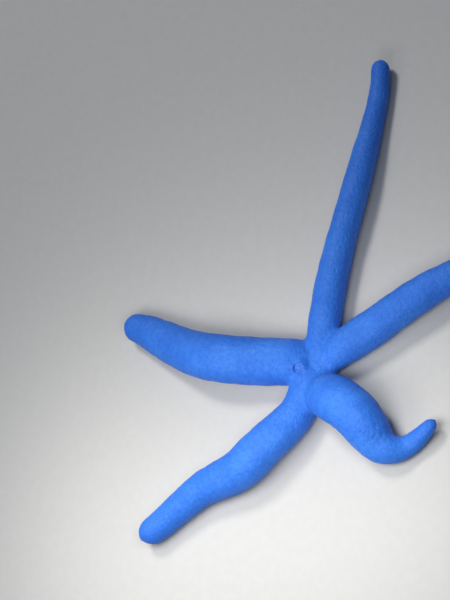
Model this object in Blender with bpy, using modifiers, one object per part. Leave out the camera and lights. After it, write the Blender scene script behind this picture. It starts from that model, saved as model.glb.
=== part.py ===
"""Blue sea star (Linckia laevigata), a still life-size model lying on a floor.

Metres, +Z up. Sizes below are in millimetres and degrees and are turned to metres by MM. The star is
worked out round the middle of its disc and then hung on one empty, which puts the middle of the
model's bounding box over the origin and its lowest flats at z = 0.

Each arm is a centreline with a heading that changes by a few named bends, a few named widths, and
arches where it lifts off the floor. One section, round above and flat beneath, is swept along it.
"""
import bpy
import bmesh
import numpy as np
from mathutils import Matrix, Vector

MM = 0.001
COLLECTION = "blue_sea_star"
GAP = 0.3                 # between two nodes that meet face to face
BEHIND = -12.0            # where a centreline starts, behind the disc's middle
STEP = 0.5                # along a centreline, for its integration
REACH = 1.0               # to each side, where the direction of a section is read
RING_SPACING = 4.8        # along an arm, between two sections of its skin
TIP_ROUNDING = 0.55       # length of an arm's rounded tip, over its last width
TIP_ANGLES = (20.0, 38.0, 54.0, 68.0, 80.0)

# The section of an arm, as shares of its width or height
WAIST = 0.50              # height of the widest line, over the height
FLAT_CUT = 0.86           # how far down the lower curve the flat underside cuts it
FLANK_SIDES = 17          # facets from one lower edge over the back to the other
SINK = 0.25               # how far the underside is pressed past the floor before it is levelled

# The groove along the underside of every arm
GROOVE_WIDTH = 4.8
GROOVE_DEPTH = 3.2
GROOVE_POINTS = (1.0, 0.6, 0.0, -0.6, -1.0)
GROOVE_TAPER = 0.5        # share of its size left at the tip
GROOVE_CUT_BELOW = 4.0    # how far the disc's groove cutters reach under the arm

# The tube feet, two rows of them in every groove, as sizes where the groove is widest
FOOT_PITCH = 5.2          # along a row; the second row is half a pitch on
FOOT_ROW = 0.48           # distance from the groove's middle, over its half width
FOOT_ROOT = 0.80          # radius where it leaves the groove's roof
FOOT_NECK = 0.56
FOOT_NECK_AT = 0.72       # how far along the foot its neck is
FOOT_SUCKER = 0.95
FOOT_SUNK = 0.7           # how far its root is sunk in the flesh
FOOT_CLEAR = 0.3          # how far its sucker stays above the levelled underside
FOOT_SIDES = 5
FOOT_LEAN = 0.35          # most that its sucker is set aside from its root
FOOT_UNEVEN = 0.5         # most that a row of them is set on along its node
FOOT_FIRST = 9.0          # from the middle of the disc
FOOT_LAST = 5.0           # from the tip of the arm
FOOT_MARGIN = 1.7         # from the ends of a node
FOOT_SEED = 11

# The disc, where the five arms meet
DISC_HEIGHT = 11.8        # of every arm over the disc's middle
DISC_SLOPE = 13.0         # from there to where an arm has its own height
DOME_RADIUS = 9.0
DOME_TOP = 12.4
DOME_MIDDLE = 5.0         # height of the dome's own middle
DOME_SEGMENTS = (32, 14)  # round it and up it
ROOT_STARTS = -3.0        # where the first root starts, behind the disc's middle
ROOT_STAGGER = 0.6        # how much further back each next one starts, so that no ends coincide
ROOT_OVERRUN = 5.0        # how far a root runs on before its end is cut square
SKIN_GRAIN = 1.1          # grid on which the arm roots and the dome grow into one skin
SKIN_SMOOTHING = 3        # rounds of smoothing, which turn the creases between the arms to hollows
DISC_TRIANGLES_KEPT = 0.12
FLOOR_CUT = (150.0, 150.0, 20.0)
END_CUT_WIDTH = 34.0
GROOVE_STARTS = 2.5       # from the middle of the disc
GROOVE_OVERRUN = 2.0      # past the end of the disc's share
GROOVE_SECTIONS = 9

# The mouth and its membrane, and the madreporite in its socket
MOUTH_RADIUS = 4.6
MOUTH_DEPTH = 5.5
MEMBRANE_THICKNESS = 1.8
MEMBRANE_DISH = ((1.0, 0.5), (0.6, 0.0), (0.3, 0.3), (0.12, 1.1), (0.0, 1.2))   # reach, height
MEMBRANE_STEPS = 20
MADREPORITE_RADIUS = 2.3
MADREPORITE_RISE = 0.7
MADREPORITE_SOCKET = 1.1
MADREPORITE_HEADING = 214.0
MADREPORITE_DISTANCE = 7.6         # from the middle of the disc
MADREPORITE_STEPS = 16
CROWN_ANGLES = (0.0, 22.5, 45.0, 67.5, 90.0)
ABOVE_ALL = 100.0         # height from which the skin is felt for

# Every arm: heading at the root, length from the middle of the disc, where its centreline starts,
# bends (place, turn, over this length), widths (place, width), height over width,
# arches (place, rise, half length), how far the tip turns up and over which length, where the
# groove runs aside of the centreline (place, aside, half length), where the disc's share of the arm
# ends, and where it is parted. A strongly bent arm has its own, closer spacing of its sections.
ARMS = {
    "top": dict(
        heading=86.0, length=151.0, start=(0.0, 0.0),
        bends=[(40.0, -9.0, 50.0), (84.0, 4.0, 24.0), (134.0, 8.0, 24.0)],
        widths=[(0.0, 15.6), (38.0, 15.4), (60.0, 14.4), (98.0, 13.0), (118.0, 11.2), (151.0, 8.8)],
        height=0.92, arches=[(78.0, 1.6, 42.0)], tip_rise=2.0, tip_length=22.0,
        groove_aside=[], disc_share=22.0, cuts=(64.0, 108.0)),
    "right": dict(
        heading=28.0, length=124.0, start=(0.0, 0.0),
        bends=[(18.0, 3.0, 20.0), (62.0, -7.0, 50.0), (106.0, 10.0, 30.0)],
        widths=[(0.0, 14.6), (14.0, 17.0), (28.0, 17.6), (64.0, 15.8), (96.0, 13.2), (124.0, 9.6)],
        height=0.90, arches=[(58.0, 2.0, 34.0)], tip_rise=2.0, tip_length=20.0,
        groove_aside=[], disc_share=23.0, cuts=(58.0, 92.0)),
    "curled": dict(
        heading=-79.0, length=83.0, start=(0.0, 0.0),
        bends=[(14.5, 51.0, 14.0), (36.0, -30.0, 22.0), (58.0, 93.0, 24.0), (76.5, 12.0, 12.0)],
        widths=[(0.0, 14.0), (10.0, 16.0), (22.0, 21.4), (34.0, 22.0), (46.0, 20.6), (55.0, 16.6),
                (64.0, 10.8), (74.0, 8.2), (83.0, 5.4)],
        height=0.86, arches=[(31.0, 7.0, 24.0)], tip_rise=4.0, tip_length=18.0, spacing=2.8,
        groove_aside=[(9.0, -3.6, 12.0)], disc_share=25.0, cuts=(46.0, 66.0)),
    "lower": dict(
        heading=-100.0, length=120.0, start=(-2.6, 0.8),
        bends=[(23.0, -36.0, 28.0), (60.0, -24.0, 15.0), (83.0, 18.0, 17.0)],
        widths=[(0.0, 15.0), (12.0, 17.0), (22.0, 17.2), (36.0, 18.8), (60.0, 19.8), (84.0, 16.4),
                (100.0, 14.6), (120.0, 12.6)],
        height=0.88, arches=[(46.0, 1.6, 26.0)], tip_rise=1.5, tip_length=14.0,
        groove_aside=[], disc_share=26.0, cuts=(58.0, 90.0)),
    "left": dict(
        heading=176.0, length=111.0, start=(0.0, 0.0),
        bends=[(56.0, -23.0, 44.0), (100.0, 9.0, 16.0)],
        widths=[(0.0, 20.0), (16.0, 22.4), (50.0, 22.8), (74.0, 20.4), (93.0, 17.4), (111.0, 12.0)],
        height=0.80, arches=[(52.0, 4.0, 30.0)], tip_rise=1.5, tip_length=16.0,
        groove_aside=[], disc_share=24.0, cuts=(56.0, 86.0)),
}
PARTINGS = ("base", "middle", "tip")

# Colours as linear values, roughness
SKINS = {
    "disc": ((0.036, 0.145, 0.72), 0.55),
    "top": ((0.024, 0.105, 0.52), 0.56),
    "right": ((0.040, 0.165, 0.75), 0.56),
    "curled": ((0.075, 0.26, 0.86), 0.56),
    "lower": ((0.100, 0.33, 0.90), 0.56),
    "left": ((0.045, 0.19, 0.78), 0.56),
}
MADREPORITE_LOOK = ((0.12, 0.27, 0.62), 0.6)
MOUTH_LOOK = ((0.62, 0.52, 0.34), 0.45)


def clear_scene():
    """Take every object out of the file that the script runs in."""
    for thing in list(bpy.data.objects):
        bpy.data.objects.remove(thing, do_unlink=True)


def make_collection(name):
    group = bpy.data.collections.new(name)
    bpy.context.scene.collection.children.link(group)
    return group


def make_material(name, colour, roughness):
    material = bpy.data.materials.new(name)
    material.use_nodes = True
    shader = material.node_tree.nodes["Principled BSDF"]
    shader.inputs["Base Color"].default_value = (*colour, 1.0)
    shader.inputs["Roughness"].default_value = roughness
    shader.inputs["Metallic"].default_value = 0.0
    return material


def ease(share):
    """A smooth step from 0 at share 0 to 1 at share 1."""
    share = np.clip(share, 0.0, 1.0)
    return share * share * (3.0 - 2.0 * share)


def hill(share):
    """A smooth hill, 1 high in the middle and 0 from -1 and 1 outwards."""
    return np.where(np.abs(share) < 1.0, np.cos(0.5 * np.pi * share) ** 2, 0.0)


def curve_through(stations, places):
    """A smooth curve through (place, value) stations, level outside them."""
    x, y = np.array(stations, float).T
    inner = (y[2:] - y[:-2]) / (x[2:] - x[:-2])
    slope = np.concatenate([[0.0], inner, [(y[-1] - y[-2]) / (x[-1] - x[-2])]])
    at = np.clip(places, x[0], x[-1])
    i = np.clip(np.searchsorted(x, at, side="right") - 1, 0, len(x) - 2)
    h = x[i + 1] - x[i]
    t = (at - x[i]) / h
    rise = y[i] * (2 * t**3 - 3 * t**2 + 1) + y[i + 1] * (3 * t**2 - 2 * t**3)
    return rise + h * (slope[i] * (t**3 - 2 * t**2 + t) + slope[i + 1] * (t**3 - t**2))


class Arm:
    """The centreline and the sections of one arm, in millimetres round the disc's middle."""

    def __init__(self, spec):
        self.spec = spec
        self.length = spec["length"]
        self.along = np.arange(BEHIND, self.length + STEP, STEP)
        heading = np.radians(self.heading(self.along))
        east = np.concatenate([[0.0], np.cumsum(np.cos(heading))[:-1] * STEP])
        north = np.concatenate([[0.0], np.cumsum(np.sin(heading))[:-1] * STEP])
        self.east = east - np.interp(0.0, self.along, east) + spec["start"][0]
        self.north = north - np.interp(0.0, self.along, north) + spec["start"][1]

    def heading(self, place):
        turned = sum(turn * ease((place - at) / over + 0.5) for at, turn, over in self.spec["bends"])
        return self.spec["heading"] + turned

    def width(self, place):
        return curve_through(self.spec["widths"], place)

    def height(self, place):
        own = self.width(place) * self.spec["height"]
        return DISC_HEIGHT + (own - DISC_HEIGHT) * ease(place / DISC_SLOPE)

    def lift(self, place):
        """Height of the underside over the floor."""
        arched = sum(rise * hill((place - at) / half) for at, rise, half in self.spec["arches"])
        turned_up = ease((place - self.length) / self.spec["tip_length"] + 1.0)
        return arched + self.spec["tip_rise"] * turned_up - SINK

    def groove(self, place):
        """Half width and depth of the groove beneath."""
        size = 1.0 - (1.0 - GROOVE_TAPER) * ease(place / self.length)
        return 0.5 * GROOVE_WIDTH * size, GROOVE_DEPTH * size

    def groove_aside(self, place):
        """How far aside of the centreline the middle of the groove runs."""
        return sum(aside * hill((place - at) / half) for at, aside, half in self.spec["groove_aside"])

    def middle(self, place):
        """A point on the centreline, at the level of the widest line."""
        rise = self.lift(place) + WAIST * self.height(place)
        return np.array([np.interp(place, self.along, self.east),
                         np.interp(place, self.along, self.north), rise])

    def frame(self, place):
        """The middle of a section, and its directions across and up."""
        forward = self.middle(place + REACH) - self.middle(place - REACH)
        forward /= np.linalg.norm(forward)
        across = np.array([forward[1], -forward[0], 0.0])
        across /= np.linalg.norm(across)
        return self.middle(place), across, np.cross(across, forward)

    def outline(self, place, grooved, size=1.0):
        """One section as (across, up) points: over the back, then along the underside."""
        half = 0.5 * self.width(place)
        below = WAIST * self.height(place)
        above = self.height(place) - below
        edge = np.pi - np.arccos(FLAT_CUT)
        turn = np.linspace(-edge, edge, FLANK_SIDES + 1)
        up = np.where(np.cos(turn) > 0.0, above, below / FLAT_CUT) * np.cos(turn)
        back = np.stack([half * np.sin(turn), up], axis=1)
        reach, depth = self.groove(place)
        share = np.array(GROOVE_POINTS)
        floor = -below + grooved * depth * (1.0 - share**2)
        return size * np.concatenate([back, np.stack([reach * share, floor], axis=1)])

    def groove_outline(self, place):
        """The groove's own section, closed well under the arm."""
        reach, depth = self.groove(place)
        bottom = -WAIST * self.height(place)
        share = np.array(GROOVE_POINTS)
        roof = np.stack([reach * share, bottom + depth * (1.0 - share**2)], axis=1)
        under = bottom - GROOVE_CUT_BELOW
        return np.concatenate([roof, [[-reach, under], [reach, under]]]) + (self.groove_aside(place), 0.0)

    def foot_rings(self, place, side, lean):
        """One tube foot: from its root in the groove's roof down to its sucker."""
        middle, across, up = self.frame(place)
        forward = np.cross(up, across)
        reach, depth = self.groove(place)
        size = depth / GROOVE_DEPTH
        bottom = -WAIST * self.height(place)
        roof = bottom + depth * (1.0 - FOOT_ROW**2)
        row = middle + (self.groove_aside(place) + side * FOOT_ROW * reach) * across
        root = row + (roof + FOOT_SUNK * size) * up
        tip = row + (bottom + SINK + FOOT_CLEAR * size) * up + lean[0] * across + lean[1] * forward
        turns = np.arange(FOOT_SIDES) * 2.0 * np.pi / FOOT_SIDES
        wheel = np.cos(turns)[:, None] * across + np.sin(turns)[:, None] * forward
        stations = ((0.0, FOOT_ROOT), (FOOT_NECK_AT, FOOT_NECK), (1.0, FOOT_SUCKER))
        return np.array([root + (tip - root) * share + wheel * radius * size
                         for share, radius in stations])

    def ring(self, place, outline):
        middle, across, up = self.frame(place)
        return middle + outline[:, :1] * across + outline[:, 1:] * up

    def stretch(self, first, last, grooved=1.0):
        """Sections from one place to another; past the last width, the tip is rounded off."""
        round_off = TIP_ROUNDING * float(self.width(self.length))
        straight_end = min(last, self.length - round_off)
        spacing = self.spec.get("spacing", RING_SPACING)
        count = max(2, int(np.ceil((straight_end - first) / spacing)) + 1)
        rings = [self.ring(p, self.outline(p, grooved)) for p in np.linspace(first, straight_end, count)]
        if last >= self.length:
            for angle in np.radians(TIP_ANGLES):
                place = straight_end + round_off * np.sin(angle)
                rings.append(self.ring(place, self.outline(place, grooved, np.cos(angle))))
        return np.array(rings)


def link_mesh(name, mesh, group, material=None):
    thing = bpy.data.objects.new(name, mesh)
    group.objects.link(thing)
    if material:
        mesh.materials.append(material)
    return thing


def loft(name, rings):
    """A closed mesh through rings of like points, with flat ends. Rings are in millimetres."""
    shell = bmesh.new()
    rows = [[shell.verts.new(Vector(point) * MM) for point in ring] for ring in rings]
    for near, far in zip(rows, rows[1:]):
        for k in range(len(near)):
            j = (k + 1) % len(near)
            shell.faces.new((near[k], near[j], far[j], far[k]))
    shell.faces.new(rows[0])
    shell.faces.new(rows[-1])
    bmesh.ops.recalc_face_normals(shell, faces=shell.faces)
    mesh = bpy.data.meshes.new(name)
    shell.to_mesh(mesh)
    shell.free()
    return mesh


def smooth_shading(mesh, sharp=40.0):
    mesh.shade_smooth()
    mesh.set_sharp_from_angle(angle=np.radians(sharp))


def ellipsoid(name, radius, half_height, centre):
    """A primitive sphere, stretched to an ellipsoid, as a mesh in place."""
    shell = bmesh.new()
    round_it, up_it = DOME_SEGMENTS
    bmesh.ops.create_uvsphere(shell, u_segments=round_it, v_segments=up_it, radius=1.0)
    squash = Matrix.Diagonal((radius * MM, radius * MM, half_height * MM, 1.0))
    bmesh.ops.transform(shell, matrix=Matrix.Translation(Vector(centre) * MM) @ squash, verts=shell.verts)
    mesh = bpy.data.meshes.new(name)
    shell.to_mesh(mesh)
    shell.free()
    return mesh


def block(name, size, centre):
    """A box as a cutter's mesh."""
    shell = bmesh.new()
    bmesh.ops.create_cube(shell, size=1.0)
    stretch = Matrix.Diagonal((*(Vector(size) * MM), 1.0))
    bmesh.ops.transform(shell, matrix=Matrix.Translation(Vector(centre) * MM) @ stretch, verts=shell.verts)
    mesh = bpy.data.meshes.new(name)
    shell.to_mesh(mesh)
    shell.free()
    return mesh


def cylinder(name, radius, depth, sides=32):
    """An upright cylinder round its own middle, as a mesh."""
    shell = bmesh.new()
    bmesh.ops.create_cone(shell, cap_ends=True, segments=sides, radius1=radius * MM,
                          radius2=radius * MM, depth=depth * MM)
    mesh = bpy.data.meshes.new(name)
    shell.to_mesh(mesh)
    shell.free()
    return mesh


def apply_modifiers(thing):
    """Replace an object's mesh with what its modifiers make of it."""
    depsgraph = bpy.context.evaluated_depsgraph_get()
    finished = bpy.data.meshes.new_from_object(thing.evaluated_get(depsgraph))
    thing.modifiers.clear()
    thing.data = finished


def boolean(thing, operation, other=None, group=None):
    cut = thing.modifiers.new(operation.lower(), "BOOLEAN")
    cut.operation = operation
    cut.solver = "EXACT"
    if group is None:
        cut.object = other
    else:
        cut.operand_type = "COLLECTION"
        cut.collection = group


def as_cutter(thing):
    thing.hide_render = True
    thing.display_type = "WIRE"
    return thing


def keep_largest_body(mesh):
    """Keep only the closed surface with the most faces."""
    shell = bmesh.new()
    shell.from_mesh(mesh)
    unseen = set(shell.faces)
    bodies = []
    while unseen:
        body = {unseen.pop()}
        edge_of_body = list(body)
        while edge_of_body:
            face = edge_of_body.pop()
            beside = {other for edge in face.edges for other in edge.link_faces} & unseen
            unseen -= beside
            body |= beside
            edge_of_body.extend(beside)
        bodies.append(body)
    largest = max(bodies, key=len)
    scraps = [face for body in bodies if body is not largest for face in body]
    bmesh.ops.delete(shell, geom=scraps, context="FACES")
    shell.to_mesh(mesh)
    shell.free()


def level_underside(mesh):
    """Press whatever would pass below the floor flat onto it."""
    for vertex in mesh.vertices:
        vertex.co.z = max(vertex.co.z, 0.0)


def place_on_skin(body, heading, distance, reach):
    """Where a round plate sits on a body's upper skin, leaning as the skin does under its rim."""
    def skin_at(x, y):
        _, point, _, _ = body.ray_cast(Vector((x, y, ABOVE_ALL)) * MM, Vector((0.0, 0.0, -1.0)))
        return point

    x = distance * np.cos(np.radians(heading))
    y = distance * np.sin(np.radians(heading))
    rim = [skin_at(x + reach * np.cos(a), y + reach * np.sin(a))
           for a in np.radians(np.arange(0.0, 360.0, 30.0))]
    quarter = len(rim) // 4
    normal = (rim[0] - rim[2 * quarter]).cross(rim[quarter] - rim[3 * quarter])
    middle = sum(rim, Vector()) / len(rim)
    return Matrix.Translation(middle) @ normal.to_track_quat("Z", "Y").to_matrix().to_4x4()


def grow_together(thing):
    """One skin over parts that run into each other, with the creases between them rounded."""
    grid = thing.modifiers.new("one_skin", "REMESH")
    grid.mode = "VOXEL"
    grid.voxel_size = SKIN_GRAIN * MM
    soften = thing.modifiers.new("soften", "SMOOTH")
    soften.factor = 0.5
    soften.iterations = SKIN_SMOOTHING
    fewer = thing.modifiers.new("fewer", "DECIMATE")
    fewer.ratio = DISC_TRIANGLES_KEPT


def end_block(name, arm):
    """A box that starts square where the disc's share of an arm ends."""
    place = arm.spec["disc_share"] - 0.5 * GAP
    middle, across, up = arm.frame(place)
    forward = np.cross(up, across)
    deep = 2.0 * ROOT_OVERRUN
    mesh = block(name, (END_CUT_WIDTH, deep, END_CUT_WIDTH), (0.0, 0.5 * deep, 0.0))
    turn = Matrix((across, forward, up)).transposed().to_4x4()
    mesh.transform(Matrix.Translation(Vector(middle) * MM) @ turn)
    return mesh


def make_disc(arms, parts, cutters, material):
    """The disc: five arm roots and a low dome in one body, flat beneath, grooved to the mouth.

    It returns the place of the madreporite, for which it has a socket.
    """
    roots = bpy.data.collections.new("roots")
    for k, (name, arm) in enumerate(arms.items()):
        starts = ROOT_STARTS - ROOT_STAGGER * k
        rings = arm.stretch(starts, arm.spec["disc_share"] + ROOT_OVERRUN, grooved=0.0)
        link_mesh("root_" + name, loft("root_" + name, rings), roots)
    dome = ellipsoid("disc", DOME_RADIUS, DOME_TOP - DOME_MIDDLE, (0.0, 0.0, DOME_MIDDLE))
    disc = link_mesh("disc", dome, parts, material)
    boolean(disc, "UNION", group=roots)
    grow_together(disc)
    apply_modifiers(disc)
    for root in list(roots.objects):
        bpy.data.objects.remove(root, do_unlink=True)
    bpy.data.collections.remove(roots)
    plate_place = place_on_skin(disc, MADREPORITE_HEADING, MADREPORITE_DISTANCE, MADREPORITE_RADIUS)

    under = block("floor_cut", FLOOR_CUT, (0.0, 0.0, -0.5 * FLOOR_CUT[2]))
    boolean(disc, "DIFFERENCE", as_cutter(link_mesh("floor_cut", under, cutters)))
    for name, arm in arms.items():
        end = link_mesh("end_" + name, end_block("end_" + name, arm), cutters)
        boolean(disc, "DIFFERENCE", as_cutter(end))
        places = np.linspace(GROOVE_STARTS, arm.spec["disc_share"] + GROOVE_OVERRUN, GROOVE_SECTIONS)
        rings = [arm.ring(p, arm.groove_outline(p)) for p in places]
        groove = link_mesh("groove_" + name, loft("groove_" + name, rings), cutters)
        boolean(disc, "DIFFERENCE", as_cutter(groove))
    recess = link_mesh("mouth_cut", cylinder("mouth_cut", MOUTH_RADIUS, 2.0 * MOUTH_DEPTH), cutters)
    boolean(disc, "DIFFERENCE", as_cutter(recess))
    socket_mesh = cylinder("madreporite_cut", MADREPORITE_RADIUS + GAP, 2.0 * MADREPORITE_SOCKET)
    socket = link_mesh("madreporite_cut", socket_mesh, cutters)
    socket.matrix_world = plate_place
    boolean(disc, "DIFFERENCE", as_cutter(socket))
    bpy.context.view_layer.update()
    apply_modifiers(disc)
    stretches = [(arm, 0.0, arm.spec["disc_share"]) for arm in arms.values()]
    set_feet(disc, stretches)
    return plate_place


def set_feet(body, stretches):
    """Fuse the tube feet of some stretches of arm to a body; each stretch is arm, first, last."""
    random = np.random.default_rng(FOOT_SEED)
    feet = bpy.data.collections.new("feet")
    for arm, first, last in stretches:
        low = max(first + FOOT_MARGIN, FOOT_FIRST)
        high = min(last - FOOT_MARGIN, arm.length - FOOT_LAST)
        for row, side in enumerate((-1.0, 1.0)):
            start = FOOT_FIRST + 0.5 * row * FOOT_PITCH
            places = np.arange(start, arm.length, FOOT_PITCH) + random.uniform(-FOOT_UNEVEN, FOOT_UNEVEN)
            for place in places[(places > low) & (places < high)]:
                lean = random.uniform(-FOOT_LEAN, FOOT_LEAN, 2)
                link_mesh("foot", loft("foot", arm.foot_rings(place, side, lean)), feet)
    boolean(body, "UNION", group=feet)
    apply_modifiers(body)
    for foot in list(feet.objects):
        bpy.data.objects.remove(foot, do_unlink=True)
    bpy.data.collections.remove(feet)
    keep_largest_body(body.data)
    smooth_shading(body.data)


def make_arm_lengths(name, arm, parts, material):
    """An arm outside the disc, in three lengths that meet face to face."""
    places = (arm.spec["disc_share"], *arm.spec["cuts"], arm.length)
    lengths = []
    for part, first, last in zip(PARTINGS, places, places[1:]):
        last_place = last if last == arm.length else last - 0.5 * GAP
        title = "arm_" + name + "_" + part
        mesh = loft(title, arm.stretch(first + 0.5 * GAP, last_place))
        level_underside(mesh)
        length = link_mesh(title, mesh, parts, material)
        set_feet(length, [(arm, first, last)])
        lengths.append(length)
    return lengths


def turned(name, profile, parts, material, steps):
    """A turned solid from a profile of (radius, height), with a Screw modifier."""
    shell = bmesh.new()
    points = [shell.verts.new((radius * MM, 0.0, height * MM)) for radius, height in profile]
    for upper, lower in zip(points, points[1:]):
        shell.edges.new((upper, lower))
    mesh = bpy.data.meshes.new(name)
    shell.to_mesh(mesh)
    shell.free()
    thing = link_mesh(name, mesh, parts, material)
    screw = thing.modifiers.new("turn", "SCREW")
    screw.steps = steps
    screw.render_steps = steps
    screw.use_merge_vertices = True
    screw.merge_threshold = 0.00002
    screw.use_smooth_shade = True
    return thing


def make_madreporite(parts, material, place):
    """The sieve plate: a small low dome in its socket."""
    base = GAP - MADREPORITE_SOCKET
    crown = [(MADREPORITE_RADIUS * np.sin(a), MADREPORITE_RISE * np.cos(a))
             for a in np.radians(CROWN_ANGLES)]
    profile = [*crown, (MADREPORITE_RADIUS, base), (0.0, base)]
    plate = turned("madreporite", profile, parts, material, MADREPORITE_STEPS)
    plate.matrix_world = place
    return plate


def make_mouth(parts, material):
    """The membrane round the mouth, dished to a small pucker, deep in its recess."""
    radius = MOUTH_RADIUS - GAP
    top = MOUTH_DEPTH - GAP
    low = top - MEMBRANE_THICKNESS
    dish = [(share * radius, low + rise) for share, rise in MEMBRANE_DISH]
    return turned("mouth", [(0.0, top), (radius, top), *dish], parts, material, MEMBRANE_STEPS)


def centre_over_origin(parts):
    """Hang everything on one empty, with the bounding box's bottom middle at the origin."""
    bpy.context.view_layer.update()
    depsgraph = bpy.context.evaluated_depsgraph_get()
    corners = []
    for thing in parts.objects:
        finished = thing.evaluated_get(depsgraph)
        corners.extend(thing.matrix_world @ vertex.co for vertex in finished.data.vertices)
    reach = np.array(corners)
    middle = 0.5 * (reach.min(axis=0) + reach.max(axis=0))
    stand = bpy.data.objects.new("sea_star", None)
    parts.objects.link(stand)
    for thing in list(parts.objects):
        if thing is not stand:
            thing.parent = stand
    stand.location = (-middle[0], -middle[1], 0.0)
    bpy.context.view_layer.update()


def main():
    clear_scene()
    parts = make_collection(COLLECTION)
    cutters = make_collection("cutters")
    arms = {name: Arm(spec) for name, spec in ARMS.items()}
    skins = {name: make_material("skin_" + name, *skin) for name, skin in SKINS.items()}
    plate_place = make_disc(arms, parts, cutters, skins["disc"])
    for name, arm in arms.items():
        make_arm_lengths(name, arm, parts, skins[name])
    make_madreporite(parts, make_material("madreporite", *MADREPORITE_LOOK), plate_place)
    make_mouth(parts, make_material("mouth_membrane", *MOUTH_LOOK))
    centre_over_origin(parts)


main()
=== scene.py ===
# %% [markdown]
# # A blue sea star on a pale floor
# The animal is a grown blue sea star, Linckia laevigata, about 23 cm across. Its solids are packed
# already: a disc, five arms in three lengths each, a sieve plate and a mouth, at their true size. They
# stay where they are. This script grows one skin over them, so that no seam shows, presses the skin's
# small relief into it, and adds what is too fine for the solids: tube feet with suckers, spines,
# eyespots, the furrows of the sieve plate and the folds of the mouth.
# Lengths are in millimetres round the middle of the disc until a mesh is made of them.

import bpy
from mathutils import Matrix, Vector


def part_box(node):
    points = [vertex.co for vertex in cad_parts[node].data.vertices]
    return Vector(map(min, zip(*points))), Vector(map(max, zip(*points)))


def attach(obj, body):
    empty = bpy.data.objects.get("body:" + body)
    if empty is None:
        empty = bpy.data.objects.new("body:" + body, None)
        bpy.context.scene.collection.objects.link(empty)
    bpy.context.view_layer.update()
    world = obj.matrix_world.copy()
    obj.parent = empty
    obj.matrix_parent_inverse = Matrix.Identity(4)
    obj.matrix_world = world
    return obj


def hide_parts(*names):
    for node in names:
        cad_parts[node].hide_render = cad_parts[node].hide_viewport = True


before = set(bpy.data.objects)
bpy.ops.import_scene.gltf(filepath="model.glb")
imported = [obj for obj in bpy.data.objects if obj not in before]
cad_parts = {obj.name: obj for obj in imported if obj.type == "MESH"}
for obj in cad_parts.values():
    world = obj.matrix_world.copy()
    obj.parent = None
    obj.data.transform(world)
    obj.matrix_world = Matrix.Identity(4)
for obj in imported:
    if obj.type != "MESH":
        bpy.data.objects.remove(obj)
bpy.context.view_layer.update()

import bmesh
import bpy
import numpy as np
from mathutils import Matrix, Vector, kdtree

# %% [markdown]
# ## The star's own centre
# The mouth lies right under the middle of the disc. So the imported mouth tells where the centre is, and
# everything that is worked out round the disc's middle is moved there when its mesh is made.

# %% From millimetres round the disc to metres in the room
MM = 0.001
mouth_low, mouth_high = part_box("mouth")
CENTRE = np.array([0.5 * (mouth_low.x + mouth_high.x), 0.5 * (mouth_low.y + mouth_high.y), 0.0])


def in_room(points):
    """Points in millimetres round the disc's middle, as metres in the room."""
    return np.asarray(points, float) * MM + CENTRE


print("the disc's middle is at", CENTRE)

# %% [markdown]
# ## The camera
# The picture was taken from above, at about 55 degrees, by a camera that was turned on its side as
# well. A camera object is placed by a matrix of four columns: its right, its up, the way back from the
# scene, and its place. Writing the three directions out keeps the tilt exact, where Euler angles hide it.

# %% Camera at the picture's viewing angle
LOOK_ROUND = np.radians(55.0)     # round the star, from the side of -Y towards +X
LOOK_DOWN = np.radians(55.0)
LOOK_TILT = np.radians(-55.0)     # about the line of sight
LOOK_DISTANCE = 0.8
PICTURE = (450, 600)              # pixels across and down
PIXEL = 0.00045                   # metres in one pixel at the disc
DISC_PIXEL = (318, 362)           # where the disc's middle falls
DISC_AIM = (0.0, 0.0, 8.0)        # the point that falls there
SENSOR = 36.0

back = np.array([np.sin(LOOK_ROUND) * np.cos(LOOK_DOWN), -np.cos(LOOK_ROUND) * np.cos(LOOK_DOWN),
                 np.sin(LOOK_DOWN)])
level_right = np.array([np.cos(LOOK_ROUND), np.sin(LOOK_ROUND), 0.0])
level_up = np.cross(back, level_right)
picture_up = level_up * np.cos(LOOK_TILT) - level_right * np.sin(LOOK_TILT)
picture_right = level_right * np.cos(LOOK_TILT) + level_up * np.sin(LOOK_TILT)
eye = (in_room(DISC_AIM) + back * LOOK_DISTANCE
       - picture_right * (DISC_PIXEL[0] - PICTURE[0] / 2) * PIXEL
       + picture_up * (DISC_PIXEL[1] - PICTURE[1] / 2) * PIXEL)

lens = bpy.data.cameras.new("camera")
lens.sensor_width = SENSOR
lens.lens = SENSOR * LOOK_DISTANCE / (PICTURE[1] * PIXEL)
camera = bpy.data.objects.new("camera", lens)
camera.matrix_world = Matrix([*np.column_stack([picture_right, picture_up, back, eye]).tolist(),
                              [0.0, 0.0, 0.0, 1.0]])
bpy.context.scene.collection.objects.link(camera)
bpy.context.scene.camera = camera
print("camera at", eye.round(3), "with a lens of", round(lens.lens, 1), "mm")

# %% [markdown]
# ## Colours and nodes
# Colours are written as sRGB hex values, the way a picture shows them. Shaders work with linear light,
# so one function turns them. Another adds a node with its settings and whatever feeds its sockets,
# which keeps each material down to the nodes that it is made of.

# %% Helpers for materials
MIX_FACTOR, MIX_A, MIX_B, MIX_RESULT = 0, 6, 7, 2     # sockets of a Mix node that mixes colours


def linear(hex_colour):
    """An sRGB hex value as the linear colour that a shader needs."""
    parts = np.array([int(hex_colour[i:i + 2], 16) for i in (1, 3, 5)]) / 255.0
    light = np.where(parts <= 0.04045, parts / 12.92, ((parts + 0.055) / 1.055) ** 2.4)
    return (*light.tolist(), 1.0)


def add_node(material, kind, feeds=None, **settings):
    """Add a node: settings are its properties; feeds are values, or outputs of other nodes."""
    node = material.node_tree.nodes.new(kind)
    for name, value in settings.items():
        setattr(node, name, value)
    for socket, feed in (feeds or {}).items():
        if isinstance(feed, bpy.types.NodeSocket):
            material.node_tree.links.new(feed, node.inputs[socket])
        else:
            node.inputs[socket].default_value = feed
    return node


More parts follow.
